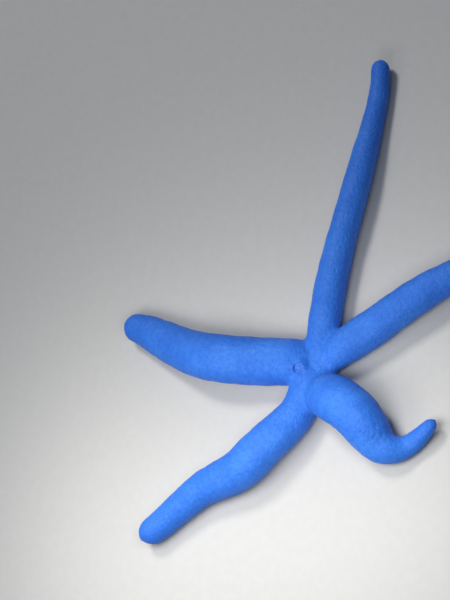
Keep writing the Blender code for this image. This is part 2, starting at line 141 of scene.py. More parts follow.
def new_material(name):
    """A material with an output and nothing else."""
    material = bpy.data.materials.new(name)
    material.use_nodes = True
    material.node_tree.nodes.clear()
    return material


def finish_material(material, shader):
    """Link a shader to the material's output."""
    add_node(material, "ShaderNodeOutputMaterial", {"Surface": shader.outputs[0]})
    print("material", material.name, "has", len(material.node_tree.nodes), "nodes")
    return material


# %% [markdown]
# ## Floor and light
# The floor is a wide sheet of matt off-white paper: a pale ground that throws a little light back up.
# A big soft lamp stands at the upper left of the picture, so that the right-hand sides lie in shade.
# Two small ones hang low over the lower and the curled arm, where the picture is brightest. A dim
# bluish room keeps the shades readable, and as blue as they are in the picture.
# View transform Standard shows a colour as it is, so a strong blue stays strong.

# %% Paper floor
FLOOR_HALF = 2.5         # metres
PAPER_GRAIN = 0.4 * MM   # fibres of drawing paper
PAPER_COARSER = 10.0     # times as coarse as they are, so that they show in the picture

paper = new_material("drawing_paper")
where = add_node(paper, "ShaderNodeTexCoord")
fibres = add_node(paper, "ShaderNodeTexNoise", {"Vector": where.outputs["Object"], "Detail": 3.0,
                                                "Scale": 1.0 / (PAPER_COARSER * PAPER_GRAIN)})
tint = add_node(paper, "ShaderNodeMix", {MIX_FACTOR: fibres.outputs["Fac"], MIX_A: linear("#c5c3be"),
                                         MIX_B: linear("#cdcbc6")}, data_type="RGBA")
paper_shader = add_node(paper, "ShaderNodeBsdfPrincipled", {"Base Color": tint.outputs[MIX_RESULT],
                                                            "Roughness": 0.9})
finish_material(paper, paper_shader)

floor_mesh = bpy.data.meshes.new("floor")
floor_mesh.from_pydata([(-FLOOR_HALF, -FLOOR_HALF, 0.0), (FLOOR_HALF, -FLOOR_HALF, 0.0),
                        (FLOOR_HALF, FLOOR_HALF, 0.0), (-FLOOR_HALF, FLOOR_HALF, 0.0)], [], [(0, 1, 2, 3)])
floor_mesh.materials.append(paper)
floor = bpy.data.objects.new("floor", floor_mesh)
bpy.context.scene.collection.objects.link(floor)

# %% Lamps and room
# each lamp is a white square: name, place, the point it is turned to, size, watts, spread in degrees
LAMPS = (("key_lamp", (-0.46, 0.655, 1.23), (-0.03, -0.09, 0.0), 0.36, 3.9, 120.0),
         ("lower_arm_lamp", (-0.095, -0.12, 0.15), (-0.08, -0.12, 0.0), 0.10, 0.12, 140.0),
         ("curled_arm_lamp", (0.035, -0.115, 0.15), (0.03, -0.10, 0.0), 0.10, 0.12, 140.0))
ROOM_COLOUR = "#b4ccf6"
ROOM_STRENGTH = 0.15

for name, place, aim, size, watts, spread in LAMPS:
    light = bpy.data.lights.new(name, "AREA")
    light.size = size
    light.energy = watts
    light.spread = np.radians(spread)
    lamp = bpy.data.objects.new(name, light)
    lamp.location = place
    lamp.rotation_euler = (Vector(aim) - Vector(place)).to_track_quat("-Z", "Y").to_euler()
    bpy.context.scene.collection.objects.link(lamp)

room = bpy.data.worlds.new("room")
room.use_nodes = True
room.node_tree.nodes["Background"].inputs["Color"].default_value = linear(ROOM_COLOUR)
room.node_tree.nodes["Background"].inputs["Strength"].default_value = ROOM_STRENGTH
bpy.context.scene.world = room
bpy.context.scene.view_settings.view_transform = "Standard"

# %% [markdown]
# ## The arms as named sizes
# An arm of this star is a soft finger. Its line on the floor is a heading that changes by a few named
# bends; its girth is a few named widths; arches lift it off the floor. These are the sizes that the
# solids were made from. A spline through points would need many more numbers, which nobody could read.

# %% Sizes of the five arms
# bends are (place, turn, over this length), widths (place, width), arches (place, rise, half length),
# groove_aside tells where the groove runs aside of the arm's middle (place, aside, half length)
ARMS = {
    "top": dict(
        heading=86.0, length=151.0, start=(0.0, 0.0),
        bends=[(40.0, -9.0, 50.0), (84.0, 4.0, 24.0), (134.0, 8.0, 24.0)],
        widths=[(0.0, 15.6), (38.0, 15.4), (60.0, 14.4), (98.0, 13.0), (118.0, 11.2), (151.0, 8.8)],
        height=0.92, arches=[(78.0, 1.6, 42.0)], tip_rise=2.0, tip_length=22.0,
        groove_aside=[]),
    "right": dict(
        heading=28.0, length=124.0, start=(0.0, 0.0),
        bends=[(18.0, 3.0, 20.0), (62.0, -7.0, 50.0), (106.0, 10.0, 30.0)],
        widths=[(0.0, 14.6), (14.0, 17.0), (28.0, 17.6), (64.0, 15.8), (96.0, 13.2), (124.0, 9.6)],
        height=0.90, arches=[(58.0, 2.0, 34.0)], tip_rise=2.0, tip_length=20.0,
        groove_aside=[]),
    "curled": dict(
        heading=-79.0, length=83.0, start=(0.0, 0.0),
        bends=[(14.5, 51.0, 14.0), (36.0, -30.0, 22.0), (58.0, 93.0, 24.0), (76.5, 12.0, 12.0)],
        widths=[(0.0, 14.0), (10.0, 16.0), (22.0, 21.4), (34.0, 22.0), (46.0, 20.6), (55.0, 16.6),
                (64.0, 10.8), (74.0, 8.2), (83.0, 5.4)],
        height=0.86, arches=[(31.0, 7.0, 24.0)], tip_rise=4.0, tip_length=18.0,
        groove_aside=[(9.0, -3.6, 12.0)]),
    "lower": dict(
        heading=-100.0, length=120.0, start=(-2.6, 0.8),
        bends=[(23.0, -36.0, 28.0), (60.0, -24.0, 15.0), (83.0, 18.0, 17.0)],
        widths=[(0.0, 15.0), (12.0, 17.0), (22.0, 17.2), (36.0, 18.8), (60.0, 19.8), (84.0, 16.4),
                (100.0, 14.6), (120.0, 12.6)],
        height=0.88, arches=[(46.0, 1.6, 26.0)], tip_rise=1.5, tip_length=14.0,
        groove_aside=[]),
    "left": dict(
        heading=176.0, length=111.0, start=(0.0, 0.0),
        bends=[(56.0, -23.0, 44.0), (100.0, 9.0, 16.0)],
        widths=[(0.0, 20.0), (16.0, 22.4), (50.0, 22.8), (74.0, 20.4), (93.0, 17.4), (111.0, 12.0)],
        height=0.80, arches=[(52.0, 4.0, 30.0)], tip_rise=1.5, tip_length=16.0,
        groove_aside=[]),
}
print("sizes of the arms:", list(ARMS))

# %% Sizes that all arms share
WAIST = 0.50              # height of the widest line, over the height of a section
FLAT_CUT = 0.86           # how far down its lower curve the flat underside cuts a section
SINK = 0.25               # how far the underside is pressed past the floor before it is levelled
DISC_HEIGHT = 11.8        # of every arm over the disc's middle
DISC_SLOPE = 13.0         # from there to where an arm has its own height
STEP = 0.5                # along a centreline
BEHIND = -12.0            # where a centreline starts, behind the disc's middle
GROOVE_WIDTH = 4.8
GROOVE_DEPTH = 3.2
GROOVE_TAPER = 0.5        # share of its size left at the tip
print("a groove is", GROOVE_WIDTH, "mm wide and", GROOVE_DEPTH, "mm deep at the disc")

# %% Smooth steps, hills and curves


def ease(share):
    """A smooth step from 0 at share 0 to 1 at share 1."""
    share = np.clip(share, 0.0, 1.0)
    return share * share * (3.0 - 2.0 * share)


def hill(share):
    """A smooth hill, 1 high in the middle and 0 from -1 and 1 outwards."""
    return np.where(np.abs(share) < 1.0, np.cos(0.5 * np.pi * share) ** 2, 0.0)


def curve_through(stations, places):
    """A smooth curve through (place, value) stations, level outside them."""
    x, y = np.array(stations, float).T
    inner = (y[2:] - y[:-2]) / (x[2:] - x[:-2])
    slope = np.concatenate([[0.0], inner, [(y[-1] - y[-2]) / (x[-1] - x[-2])]])
    at = np.clip(places, x[0], x[-1])
    i = np.clip(np.searchsorted(x, at, side="right") - 1, 0, len(x) - 2)
    h = x[i + 1] - x[i]
    t = (at - x[i]) / h
    rise = y[i] * (2 * t**3 - 3 * t**2 + 1) + y[i + 1] * (3 * t**2 - 2 * t**3)
    return rise + h * (slope[i] * (t**3 - 2 * t**2 + t) + slope[i + 1] * (t**3 - t**2))


# %% [markdown]
# ## From sizes to sections
# A section is an ellipse with its lower side cut flat, where the animal lies on the ground. The class
# below answers, for any place along the arm, where the middle of the section is, which way it faces,
# and where a point of its skin lies. Everything that is set on the arms later asks this class.

# %% One arm
EDGE = np.pi - np.arccos(FLAT_CUT)     # how far round from the ridge the flat underside begins
REACH = 1.0                            # to each side, where a section's direction is read


class Arm:
    """The centreline and the sections of one arm."""

    def __init__(self, shape):
        self.shape = shape
        self.length = shape["length"]
        self.along = np.arange(BEHIND, self.length + STEP, STEP)
        turned = sum(turn * ease((self.along - at) / over + 0.5) for at, turn, over in shape["bends"])
        heading = np.radians(shape["heading"] + turned)
        east = np.concatenate([[0.0], np.cumsum(np.cos(heading))[:-1] * STEP])
        north = np.concatenate([[0.0], np.cumsum(np.sin(heading))[:-1] * STEP])
        self.east = east - np.interp(0.0, self.along, east) + shape["start"][0]
        self.north = north - np.interp(0.0, self.along, north) + shape["start"][1]

    def width(self, place):
        return curve_through(self.shape["widths"], place)

    def height(self, place):
        own = self.width(place) * self.shape["height"]
        return DISC_HEIGHT + (own - DISC_HEIGHT) * ease(place / DISC_SLOPE)

    def lift(self, place):
        """Height of the underside over the floor."""
        arched = sum(rise * hill((place - at) / half) for at, rise, half in self.shape["arches"])
        turned_up = ease((place - self.length) / self.shape["tip_length"] + 1.0)
        return arched + self.shape["tip_rise"] * turned_up - SINK

    def groove(self, place):
        """Half width and depth of the groove beneath."""
        size = 1.0 - (1.0 - GROOVE_TAPER) * ease(place / self.length)
        return 0.5 * GROOVE_WIDTH * size, GROOVE_DEPTH * size

    def groove_aside(self, place):
        """How far aside of the arm's middle the groove runs."""
        return sum(aside * hill((place - at) / half) for at, aside, half in self.shape["groove_aside"])

    def middle(self, place):
        rise = self.lift(place) + WAIST * self.height(place)
        return np.stack([np.interp(place, self.along, self.east),
                         np.interp(place, self.along, self.north), rise], axis=-1)

    def frame(self, place):
        """The middle of a section, and its directions across, up and forward."""
        forward = self.middle(place + REACH) - self.middle(place - REACH)
        forward /= np.linalg.norm(forward, axis=-1, keepdims=True)
        across = np.cross(forward, (0.0, 0.0, 1.0))
        across /= np.linalg.norm(across, axis=-1, keepdims=True)
        return self.middle(place), across, np.cross(across, forward), forward

    def skin(self, place, turn, size=1.0):
        """Points of the skin; turn is 0 on the ridge and EDGE where the flat underside begins."""
        middle, across, up, _ = self.frame(place)
        below = WAIST * self.height(place)
        above = self.height(place) - below
        reach = 0.5 * size * self.width(place) * np.sin(turn)
        rise = size * np.where(np.cos(turn) > 0.0, above, below / FLAT_CUT) * np.cos(turn)
        return middle + reach[..., None] * across + rise[..., None] * up


arms = {name: Arm(shape) for name, shape in ARMS.items()}
print("arms:", {name: arm.length for name, arm in arms.items()})

# %% [markdown]
# ## Tubes
# Almost everything on a sea star is a tube of some kind: an arm, a foot, a spine. One function links
# rings of like points with faces and closes both ends. Another gathers such tubes in one mesh, turns
# all faces outwards and shades them smooth.

# %% Rings to meshes


def tube(rings):
    """Points and faces of a closed tube through rings, an array of (ring, point, 3)."""
    count, sides = rings.shape[:2]
    first = np.arange(count - 1)[:, None] * sides
    k = np.arange(sides)
    near, beside = first + k, first + (k + 1) % sides
    faces = np.stack([near, beside, beside + sides, near + sides], axis=-1).reshape(-1, 4).tolist()
    faces.append(list(range(sides)))
    faces.append(list(range((count - 1) * sides, count * sides)))
    return rings.reshape(-1, 3), faces


def make_mesh(name, tubes):
    """One mesh of many tubes, in metres, with every face turned outwards."""
    points, faces, start = [], [], 0
    for tube_points, tube_faces in tubes:
        points.append(tube_points)
        faces.extend([[start + k for k in face] for face in tube_faces])
        start += len(tube_points)
    mesh = bpy.data.meshes.new(name)
    mesh.from_pydata(in_room(np.concatenate(points)), [], faces)
    shell = bmesh.new()
    shell.from_mesh(mesh)
    bmesh.ops.recalc_face_normals(shell, faces=shell.faces)
    shell.to_mesh(mesh)
    shell.free()
    mesh.shade_smooth()
    return mesh


def show(name, mesh, material=None):
    """Put a mesh into the scene."""
    if material:
        mesh.materials.append(material)
    thing = bpy.data.objects.new(name, mesh)
    bpy.context.scene.collection.objects.link(thing)
    print(name, "has", sum(len(face.vertices) - 2 for face in mesh.polygons), "triangles")
    return thing


# %% [markdown]
# ## One skin
# On the animal one skin runs over disc and arms without a seam. It could be one tube per arm, stitched
# by hand in the middle. Here five fine tubes and a low dome are left to cross each other, and a Remesh
# modifier lays one closed net over all of them, which follows any change of the sizes above.

# %% Five tubes and a dome
TUBE_STEP = 1.3           # along an arm
FLANK_SIDES = 60
UNDER_SIDES = 10
ROOT_STARTS = -3.0        # behind the disc's middle
TIP_ROUNDING = 0.55       # length of the rounded tip, over the last width
TIP_ANGLES = np.radians(np.arange(6.0, 90.0, 6.0))
DOME_RADIUS = 9.0
DOME_TOP = 12.4
DOME_MIDDLE = 5.0
SKIN_GRAIN = 0.62         # net of the first, plain skin


def arm_tube(arm):
    """One arm as a fine tube with a rounded tip."""
    rounding = TIP_ROUNDING * arm.width(arm.length)
    shoulder = arm.length - rounding
    straight = np.linspace(ROOT_STARTS, shoulder, int((shoulder - ROOT_STARTS) / TUBE_STEP))
    place = np.concatenate([straight, shoulder + rounding * np.sin(TIP_ANGLES)])
    size = np.concatenate([np.ones(len(straight)), np.cos(TIP_ANGLES)])
    turn = np.linspace(-EDGE, EDGE, FLANK_SIDES + 1)
    flank = arm.skin(place[:, None], turn[None, :], size[:, None])
    share = np.linspace(0.0, 1.0, UNDER_SIDES + 2)[1:-1, None]
    under = flank[:, -1:] * (1.0 - share) + flank[:, :1] * share
    return tube(np.concatenate([flank, under], axis=1))


def apply_modifiers(thing):
    """Replace an object's mesh with what its modifiers make of it."""
    depsgraph = bpy.context.evaluated_depsgraph_get()
    finished = bpy.data.meshes.new_from_object(thing.evaluated_get(depsgraph))
    thing.modifiers.clear()
    thing.data = finished


def grow_one_skin(thing, grain):
    """Lay one closed net over everything in the object."""
    net = thing.modifiers.new("one_skin", "REMESH")
    net.mode = "VOXEL"
    net.voxel_size = grain * MM
    apply_modifiers(thing)
    print("one skin:", len(thing.data.vertices), "points")


body = make_mesh("sea_star_skin", [arm_tube(arm) for arm in arms.values()])
shell = bmesh.new()
shell.from_mesh(body)
dome_shape = Matrix.Diagonal((DOME_RADIUS * MM, DOME_RADIUS * MM, (DOME_TOP - DOME_MIDDLE) * MM, 1.0))
dome_place = Matrix.Translation(in_room((0.0, 0.0, DOME_MIDDLE)))
bmesh.ops.create_uvsphere(shell, u_segments=64, v_segments=32, radius=1.0, matrix=dome_place @ dome_shape)
shell.to_mesh(body)
shell.free()
skin = show("sea_star_skin", body)
grow_one_skin(skin, SKIN_GRAIN)

# %% [markdown]
# ## Hollows between the arms
# Where two arms meet, the net has a sharp crease, and skin has none. Moving every point towards the
# middle of its neighbours rounds a crease, but it shrinks thin tips as well, so it is done fully round
# the disc and hardly at all along the arms.

# %% Smooth the crotches
SOFT_INSIDE = 20.0        # from the disc's middle: fully smoothed up to here
SOFT_FADE = 12.0          # and fading out over this
SOFT_ROUNDS = 8
SOFT_PULL = 0.5           # of the way to the neighbours' middle, in one round


def read_points(mesh):
    """A mesh's points in millimetres round the disc's middle."""
    flat = np.empty(3 * len(mesh.vertices), np.float32)
    mesh.vertices.foreach_get("co", flat)
    return (flat.reshape(-1, 3).astype(float) - CENTRE) / MM


def write_points(mesh, points):
    mesh.vertices.foreach_set("co", in_room(points).astype(np.float32).ravel())
    mesh.update()


def soften(mesh, rounds, share):
    """Move every point part of the way to the middle of its neighbours; share is 0 to 1 for each."""
    points = read_points(mesh)
    ends = np.empty(2 * len(mesh.edges), np.int32)
    mesh.edges.foreach_get("vertices", ends)
    one, other = ends.reshape(-1, 2).T
    count = np.bincount(ends, minlength=len(points))
    for _ in range(rounds):
        total = np.stack([np.bincount(one, points[other, axis], len(points))
                          + np.bincount(other, points[one, axis], len(points)) for axis in range(3)], axis=1)
        points += SOFT_PULL * share[:, None] * (total / count[:, None] - points)
    write_points(mesh, points)
    print("softened in", rounds, "rounds")


far = np.linalg.norm(read_points(skin.data)[:, :2], axis=1)
soften(skin.data, SOFT_ROUNDS, 1.0 - ease((far - SOFT_INSIDE) / SOFT_FADE))

# %% [markdown]
# ## Grooves, margins and the mouth
# Beneath, every arm is open in a groove that runs from the tip to the mouth, and the tube feet stand
# in it. A shallow margin beside it holds the spines. Seen from below these are heights over the floor,
# so each point of the underside is lifted to the height that the groove has there. That leaves long
# faces on the steep sides, so the net is laid anew.

# %% Where a point lies along an arm
AT_ONCE = 4000            # points measured together, to keep the arrays small


def along(arm, points):
    """Place along the arm and distance aside for every point, in plan."""
    line = np.stack([arm.east, arm.north], axis=1)
    blocks = np.array_split(points[:, :2], len(points) // AT_ONCE + 1)
    nearest = np.concatenate([np.sum((block[:, None] - line) ** 2, axis=2).argmin(axis=1)
                              for block in blocks])
    _, across, _, forward = arm.frame(arm.along[nearest])
    offset = points[:, :2] - line[nearest]
    ahead = np.sum(offset * forward[:, :2], axis=1)
    return arm.along[nearest] + ahead, np.sum(offset * across[:, :2], axis=1)


# %% Heights of the underside
MARGIN_WIDTH = 1.7        # beside the groove
MARGIN_DEPTH = 0.7
GROOVE_ENDS = 3.0         # from the tip
GROOVE_FADE = 4.0         # over which it fades out there
MOUTH_RADIUS = 4.6
MOUTH_DEPTH = 5.6
MOUTH_SLOPE = 0.9         # over which the mouth's wall rises
CARVED_BELOW = MOUTH_DEPTH + 1.0     # only points lower than this are carved
CARVED_ROUNDS = 2         # of softening, between the two times that the net is carved
NOWHERE = -99.0           # lower than any point of the star


def groove_height(arm, place, aside):
    """Height of the groove's roof or the margin over the floor, or NOWHERE outside them."""
    half, depth = arm.groove(place)
    fade = ease((arm.length - GROOVE_ENDS - place) / GROOVE_FADE)
    distance = np.abs(aside - arm.groove_aside(place))
    roof = depth * (1.0 - (distance / half) ** 2)
    margin = MARGIN_DEPTH * (1.0 - ease((distance - half) / MARGIN_WIDTH))
    height = arm.lift(place) + fade * np.maximum(roof, margin)
    inside = (place > 0.0) & (distance < half + MARGIN_WIDTH) & (fade > 0.0)
    return np.where(inside, height, NOWHERE)


def underside_height(points):
    """The lowest that the underside may be at every point."""
    heights = [groove_height(arm, *along(arm, points)) for arm in arms.values()]
    from_mouth = np.linalg.norm(points[:, :2], axis=1)
    mouth = MOUTH_DEPTH * ease((MOUTH_RADIUS + MOUTH_SLOPE - from_mouth) / MOUTH_SLOPE)
    return np.maximum.reduce([*heights, mouth])


def carve(mesh):
    """Lift the underside to its grooves, its margins and its mouth, and level the rest at the floor."""
    points = read_points(mesh)
    low = points[:, 2] < CARVED_BELOW
    points[low, 2] = np.maximum(points[low, 2], underside_height(points[low]))
    points[:, 2] = np.maximum(points[:, 2], 0.0)
    write_points(mesh, points)


carve(skin.data)
grow_one_skin(skin, SKIN_GRAIN)
soften(skin.data, CARVED_ROUNDS, np.ones(len(skin.data.vertices)))
carve(skin.data)

# %% [markdown]
# ## What the skin knows about itself
# Each point notes how much it belongs to the underside, how deep it lies in a groove, and how near it
# is to an arm's tip. The relief and the colours read these notes later, so that a marking follows the
# body instead of the room. Each arm's places are measured once and serve the next step too.

# %% Notes that a mesh can keep


def keep_note(mesh, name, values):
    """Store one number for every point, which materials can read by name."""
    note = mesh.attributes.get(name) or mesh.attributes.new(name, "FLOAT", "POINT")
    note.data.foreach_set("value", np.asarray(values, np.float32))


def read_note(mesh, name):
    values = np.empty(len(mesh.vertices), np.float32)
    mesh.attributes[name].data.foreach_get("value", values)
    return values.astype(float)


def read_normals(mesh):
    flat = np.empty(3 * len(mesh.vertices), np.float32)
    mesh.vertex_normals.foreach_get("vector", flat)
    return flat.reshape(-1, 3).astype(float)


# %% Underside, grooves and tips
DOWN_AT_LEVEL = 0.1       # for a point that faces sideways, before it is eased
DOWN_GAIN = 1.4           # added to that for a point that faces straight down
NEAR_ARM = 0.55           # of an arm's width, to each side
NEAR_ARM_SPARE = 1.0
GROOVE_LIP = 0.6          # past the groove's edge, where its colour ends
GROOVE_LIP_FADE = 0.8
GROOVE_UP_TO = 0.5        # of a section's height
TIP_FROM = 0.72           # of an arm's length
LOW_UP_TO = 0.45          # of a section's height, where the underside's paleness has faded out
LOW_SHARE = 0.6           # how pale the foot of a flank is, over the underside
MOUTH_LIP = 2.0           # past the mouth's edge, where its colour ends
MOUTH_LIP_FADE = 1.5
MOUTH_UP_TO = 7.0


def note_place(mesh, spots):
    """Note for every point: underside, groove and tip, each from 0 to 1."""
    points = read_points(mesh)
    facing_down = ease(-read_normals(mesh)[:, 2] * DOWN_GAIN + DOWN_AT_LEVEL)
    groove = np.zeros(len(points))
    tip = np.zeros(len(points))
    low = np.zeros(len(points))
    for arm, (place, aside) in zip(arms.values(), spots):
        half, _ = arm.groove(place)
        beside = (place > 0.0) & (np.abs(aside) < NEAR_ARM * arm.width(place) + NEAR_ARM_SPARE)
        height = points[:, 2] - arm.lift(place)
        section = arm.height(place)
        from_groove = np.abs(aside - arm.groove_aside(place))
        in_groove = ease((half + GROOVE_LIP - from_groove) / GROOVE_LIP_FADE)
        in_groove = in_groove * (height < GROOVE_UP_TO * section)
        near_tip = ease((place / arm.length - TIP_FROM) / (1.0 - TIP_FROM))
        groove = np.maximum(groove, np.where(beside, in_groove, 0.0))
        tip = np.maximum(tip, np.where(beside, near_tip, 0.0))
        low = np.maximum(low, np.where(beside, ease(1.0 - height / (LOW_UP_TO * section)), 0.0))
    to_lip = MOUTH_RADIUS + MOUTH_LIP - np.linalg.norm(points[:, :2], axis=1)
    mouth = ease(to_lip / MOUTH_LIP_FADE) * (points[:, 2] < MOUTH_UP_TO)
    keep_note(mesh, "groove", np.maximum(groove, mouth) * facing_down)
    keep_note(mesh, "underside", np.maximum(facing_down, LOW_SHARE * low))
    keep_note(mesh, "tip", tip)
    print("points near a groove or the mouth:", int((np.maximum(groove, mouth) > 0.0).sum()))


arm_spots = [along(arm, read_points(skin.data)) for arm in arms.values()]
note_place(skin.data, arm_spots)

# %% [markdown]
# ## The skin laid out flat
# A flat layout of the skin lets its colours be kept in a picture for other programs. A cut that is
# searched by machine would tear this skin to shreds at every grain. An arm is a tube, so it is slit
# along its groove and rolled out: five strips, with the place along the arm in u and round it in v.

# %% Five strips
STRIP_FILLED = 0.92       # of each strip; the rest keeps it apart from the next
STRIP_TURN = np.pi + 0.2  # most that a corner lies round from the ridge; the mouth's inside is pressed in
STRIP_SPARE = 1.0         # past the longest arm's end


def roll_out(mesh, spots):
    """Give every face corner its place in the strip of the arm that the face is nearest to."""
    points = read_points(mesh)
    longest = max(arm.length for arm in arms.values()) + STRIP_SPARE
    far, place_share, angle = [], [], []
    for arm, (place, aside) in zip(arms.values(), spots):
        far.append(np.hypot(aside, np.minimum(place, 0.0)))
        place_share.append(np.clip(place, BEHIND, longest) / longest)
        angle.append(np.arctan2(aside, points[:, 2] - arm.middle(np.clip(place, 0.0, arm.length))[:, 2]))
    corner = np.empty(len(mesh.loops), np.int32)
    mesh.loops.foreach_get("vertex_index", corner)
    starts, totals = np.empty((2, len(mesh.polygons)), np.int32)
    mesh.polygons.foreach_get("loop_start", starts)
    mesh.polygons.foreach_get("loop_total", totals)
    strip = np.argmin(far, axis=0)[corner[starts]]
    first_turn = np.array(angle)[strip, corner[starts]]
    strip, first_turn = np.repeat(strip, totals), np.repeat(first_turn, totals)
    turn = np.array(angle)[strip, corner]
    turn -= 2.0 * np.pi * np.round((turn - first_turn) / (2.0 * np.pi))
    turn = np.clip(turn, -STRIP_TURN, STRIP_TURN)
    u = (np.array(place_share)[strip, corner] - BEHIND / longest) / (1.0 - BEHIND / longest)
    v = (strip + 0.5 + STRIP_FILLED * turn / (2.0 * np.pi)) / len(arms)
    layout = mesh.uv_layers.new(name="OFBake")
    layout.uv.foreach_set("vector", np.stack([u, v], axis=1).astype(np.float32).ravel())
    print("rolled out:", len(corner), "corners, u", u.min().round(3), u.max().round(3),
          "v", v.min().round(3), v.max().round(3))


roll_out(skin.data, arm_spots)

# %% [markdown]
# ## A finer net
# Subdivision parts every face in four and carries the notes and the layout on to the new points. The
# plain skin is rounded by it too, and what comes next is pressed into it four times as fine.

# %% Subdivide
finer = skin.modifiers.new("finer", "SUBSURF")
finer.levels = 1
finer.render_levels = 1
apply_modifiers(skin)
skin.data.shade_smooth()
print("fine skin:", len(skin.data.vertices), "points, notes:", [note.name for note in skin.data.attributes])

# %% [markdown]
# ## A seat for the sieve plate
# The madreporite is a small lime plate on top of the disc, almost flush with the skin round it. The
# packed plate tells where it is and how it leans, so the skin is raised softly to its rim and sinks
# under it. Cutting a hole in the skin and sewing the plate in would show no more of it.

# %% Where the plate sits
SIEVE_RADIUS = 2.3
SEAT_REACH = 5.0          # from the plate's middle, where the raised skin ends
SEAT_RISE = 0.55          # over the plate's rim, before the relief is pressed in
SEAT_SUNK = 0.5           # under the plate, so that no skin comes through it
COLLAR_FROM = 0.8         # over the plate's radius, where the skin begins to rise to the rim
SUNK_UP_TO = 1.15         # over the plate's radius
SEAT_SLOPE = 0.25         # width of both slopes, over the plate's radius
SOLID_SIEVE_BASE = 0.8 * MM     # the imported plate's base lies this far under the skin

sieve_points = np.array([vertex.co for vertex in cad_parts["madreporite"].data.vertices])
_, directions = np.linalg.eigh(np.cov((sieve_points - sieve_points.mean(axis=0)).T))
thinnest = directions[:, 0]
sieve_up = thinnest * np.sign(thinnest[2])
sieve_right = np.cross((0.0, 1.0, 0.0), sieve_up)
sieve_right /= np.linalg.norm(sieve_right)
sieve_forward = np.cross(sieve_up, sieve_right)
sieve_low = (sieve_points @ sieve_up).min()
sieve_middle = sieve_points.mean(axis=0)
sieve_middle += sieve_up * (sieve_low + SOLID_SIEVE_BASE - sieve_middle @ sieve_up)
sieve_middle = (sieve_middle - CENTRE) / MM


def seat_plate(mesh):
    """Bring the skin round the plate to its rim, and the skin under the plate beneath it."""
    points = read_points(mesh)
    offset = points - sieve_middle
    height = offset @ sieve_up
    reach = np.linalg.norm(offset - height[:, None] * sieve_up, axis=1)
    collar = ease((reach / SIEVE_RADIUS - COLLAR_FROM) / SEAT_SLOPE) * (SEAT_RISE + SEAT_SUNK) - SEAT_SUNK
    around = ease((SEAT_REACH - reach) / (SEAT_REACH - SIEVE_RADIUS))
    beneath_plate = ease((SUNK_UP_TO - reach / SIEVE_RADIUS) / SEAT_SLOPE)
    move = around * np.maximum(collar - height, 0.0) + beneath_plate * np.minimum(collar - height, 0.0)
    points += (move * (points[:, 2] > CARVED_BELOW))[:, None] * sieve_up
    write_points(mesh, points)


seat_plate(skin.data)
print("sieve plate at", sieve_middle.round(1), "mm, leaning along", sieve_up.round(2))

# %% [markdown]
# ## Plates and pore areas
# Under the skin lie hundreds of small lime plates, in rows round the arm. They show as low swellings,
# smaller towards the tip. Between them are soft areas with tiny gills, which show as shallow dimples.
# The plates are set out as a slightly uneven lattice in the arm's own terms, so that they follow every
# bend, and a search tree then tells each point of the skin how far the nearest ones are.

# %% Where the plates are
PLATE_ROWS = 13           # from one lower edge over the back to the other
PLATE_STEP = 0.185        # along the arm, over its width
PLATE_UNEVEN = 0.22       # most that a plate is off its place, over the step
PLATE_APART = 0.62        # least distance between two, over the step
PLATES_FROM = 2.0         # along an arm
PLATES_END = 1.0          # from its tip
PLATE_BURIED = 2.2        # a place farther than this from the skin is inside the flesh
WHORL_STEP = 1.75         # plates on the disc lie in a whorl
WHORL_SIZE = 1.7          # of its plates, over its step
WHORL_PLATES = 46
GOLDEN_ANGLE = np.radians(137.5)
PLATE_SEED = 5


def wanted_plates():
    """Places for plates as (point, step), on the disc and along every arm."""
    random = np.random.default_rng(PLATE_SEED)
    for k in range(WHORL_PLATES):
        angle, reach = k * GOLDEN_ANGLE, WHORL_STEP * np.sqrt(k + 0.5)
        spot = np.array([reach * np.cos(angle), reach * np.sin(angle), DOME_TOP])
        yield spot, WHORL_SIZE * WHORL_STEP
    for arm in arms.values():
        place, column = PLATES_FROM, 0
        while place < arm.length - PLATES_END:
            step = PLATE_STEP * float(arm.width(place))
            for row in range(-PLATE_ROWS // 2, PLATE_ROWS // 2 + 2):
                turn = (row + 0.5 * (column % 2)) * 2.0 * EDGE / PLATE_ROWS
                off = random.uniform(-PLATE_UNEVEN, PLATE_UNEVEN, 2)
                off_place = np.array(place + off[0] * step)
                off_turn = np.array(turn + off[1] * 2.0 * EDGE / PLATE_ROWS)
                yield arm.skin(off_place, off_turn), step
            place += step
            column += 1


def plates_on(thing):
    """Plates moved onto the skin; those buried in flesh or crowding others are left out."""
    middles = np.empty((0, 3))
    steps = []
    for point, step in wanted_plates():
        _, spot, _, _ = thing.closest_point_on_mesh(Vector(in_room(point)))
        spot = (np.array(spot) - CENTRE) / MM
        buried = np.linalg.norm(spot - point) > PLATE_BURIED
        crowding = len(middles) and np.linalg.norm(middles - spot, axis=1).min() < PLATE_APART * step
        if not buried and not crowding:
            middles = np.vstack([middles, spot])
            steps.append(step)
    return middles, np.array(steps)


plates, plate_steps = plates_on(skin)
print("plates:", len(plates), "from", plate_steps.min().round(2), "to", plate_steps.max().round(2), "mm")

# %% Relief of the skin
PLATE_RISE = 0.07         # height of a plate's swelling
PLATE_RISE_VARIES = 0.5   # share of it that differs from plate to plate
PLATE_REACH = 0.78        # from its middle to where it has run out, over the step
PORE_DEPTH = 0.045
PORE_REACH = 0.42         # how far a pore area spreads, over the step
UNDULATION = 0.30         # slow swell of the flesh
UNDULATION_LENGTH = 11.0
# two crossing waves: how many to the length, how far they wander, how often they do, their shift
UNDULATION_WAVES = ((1.0, 1.3, 0.7, 0.0), (0.8, 1.1, 0.6, 2.0))
FEWER_BENEATH = 0.6       # how much of the relief is lost in the grooves
SMALL_PLATES_KEEP = 0.25  # added to the strength of the relief where plates are small

tree = kdtree.KDTree(len(plates))
for k, middle in enumerate(plates):
    tree.insert(middle, k)
tree.balance()


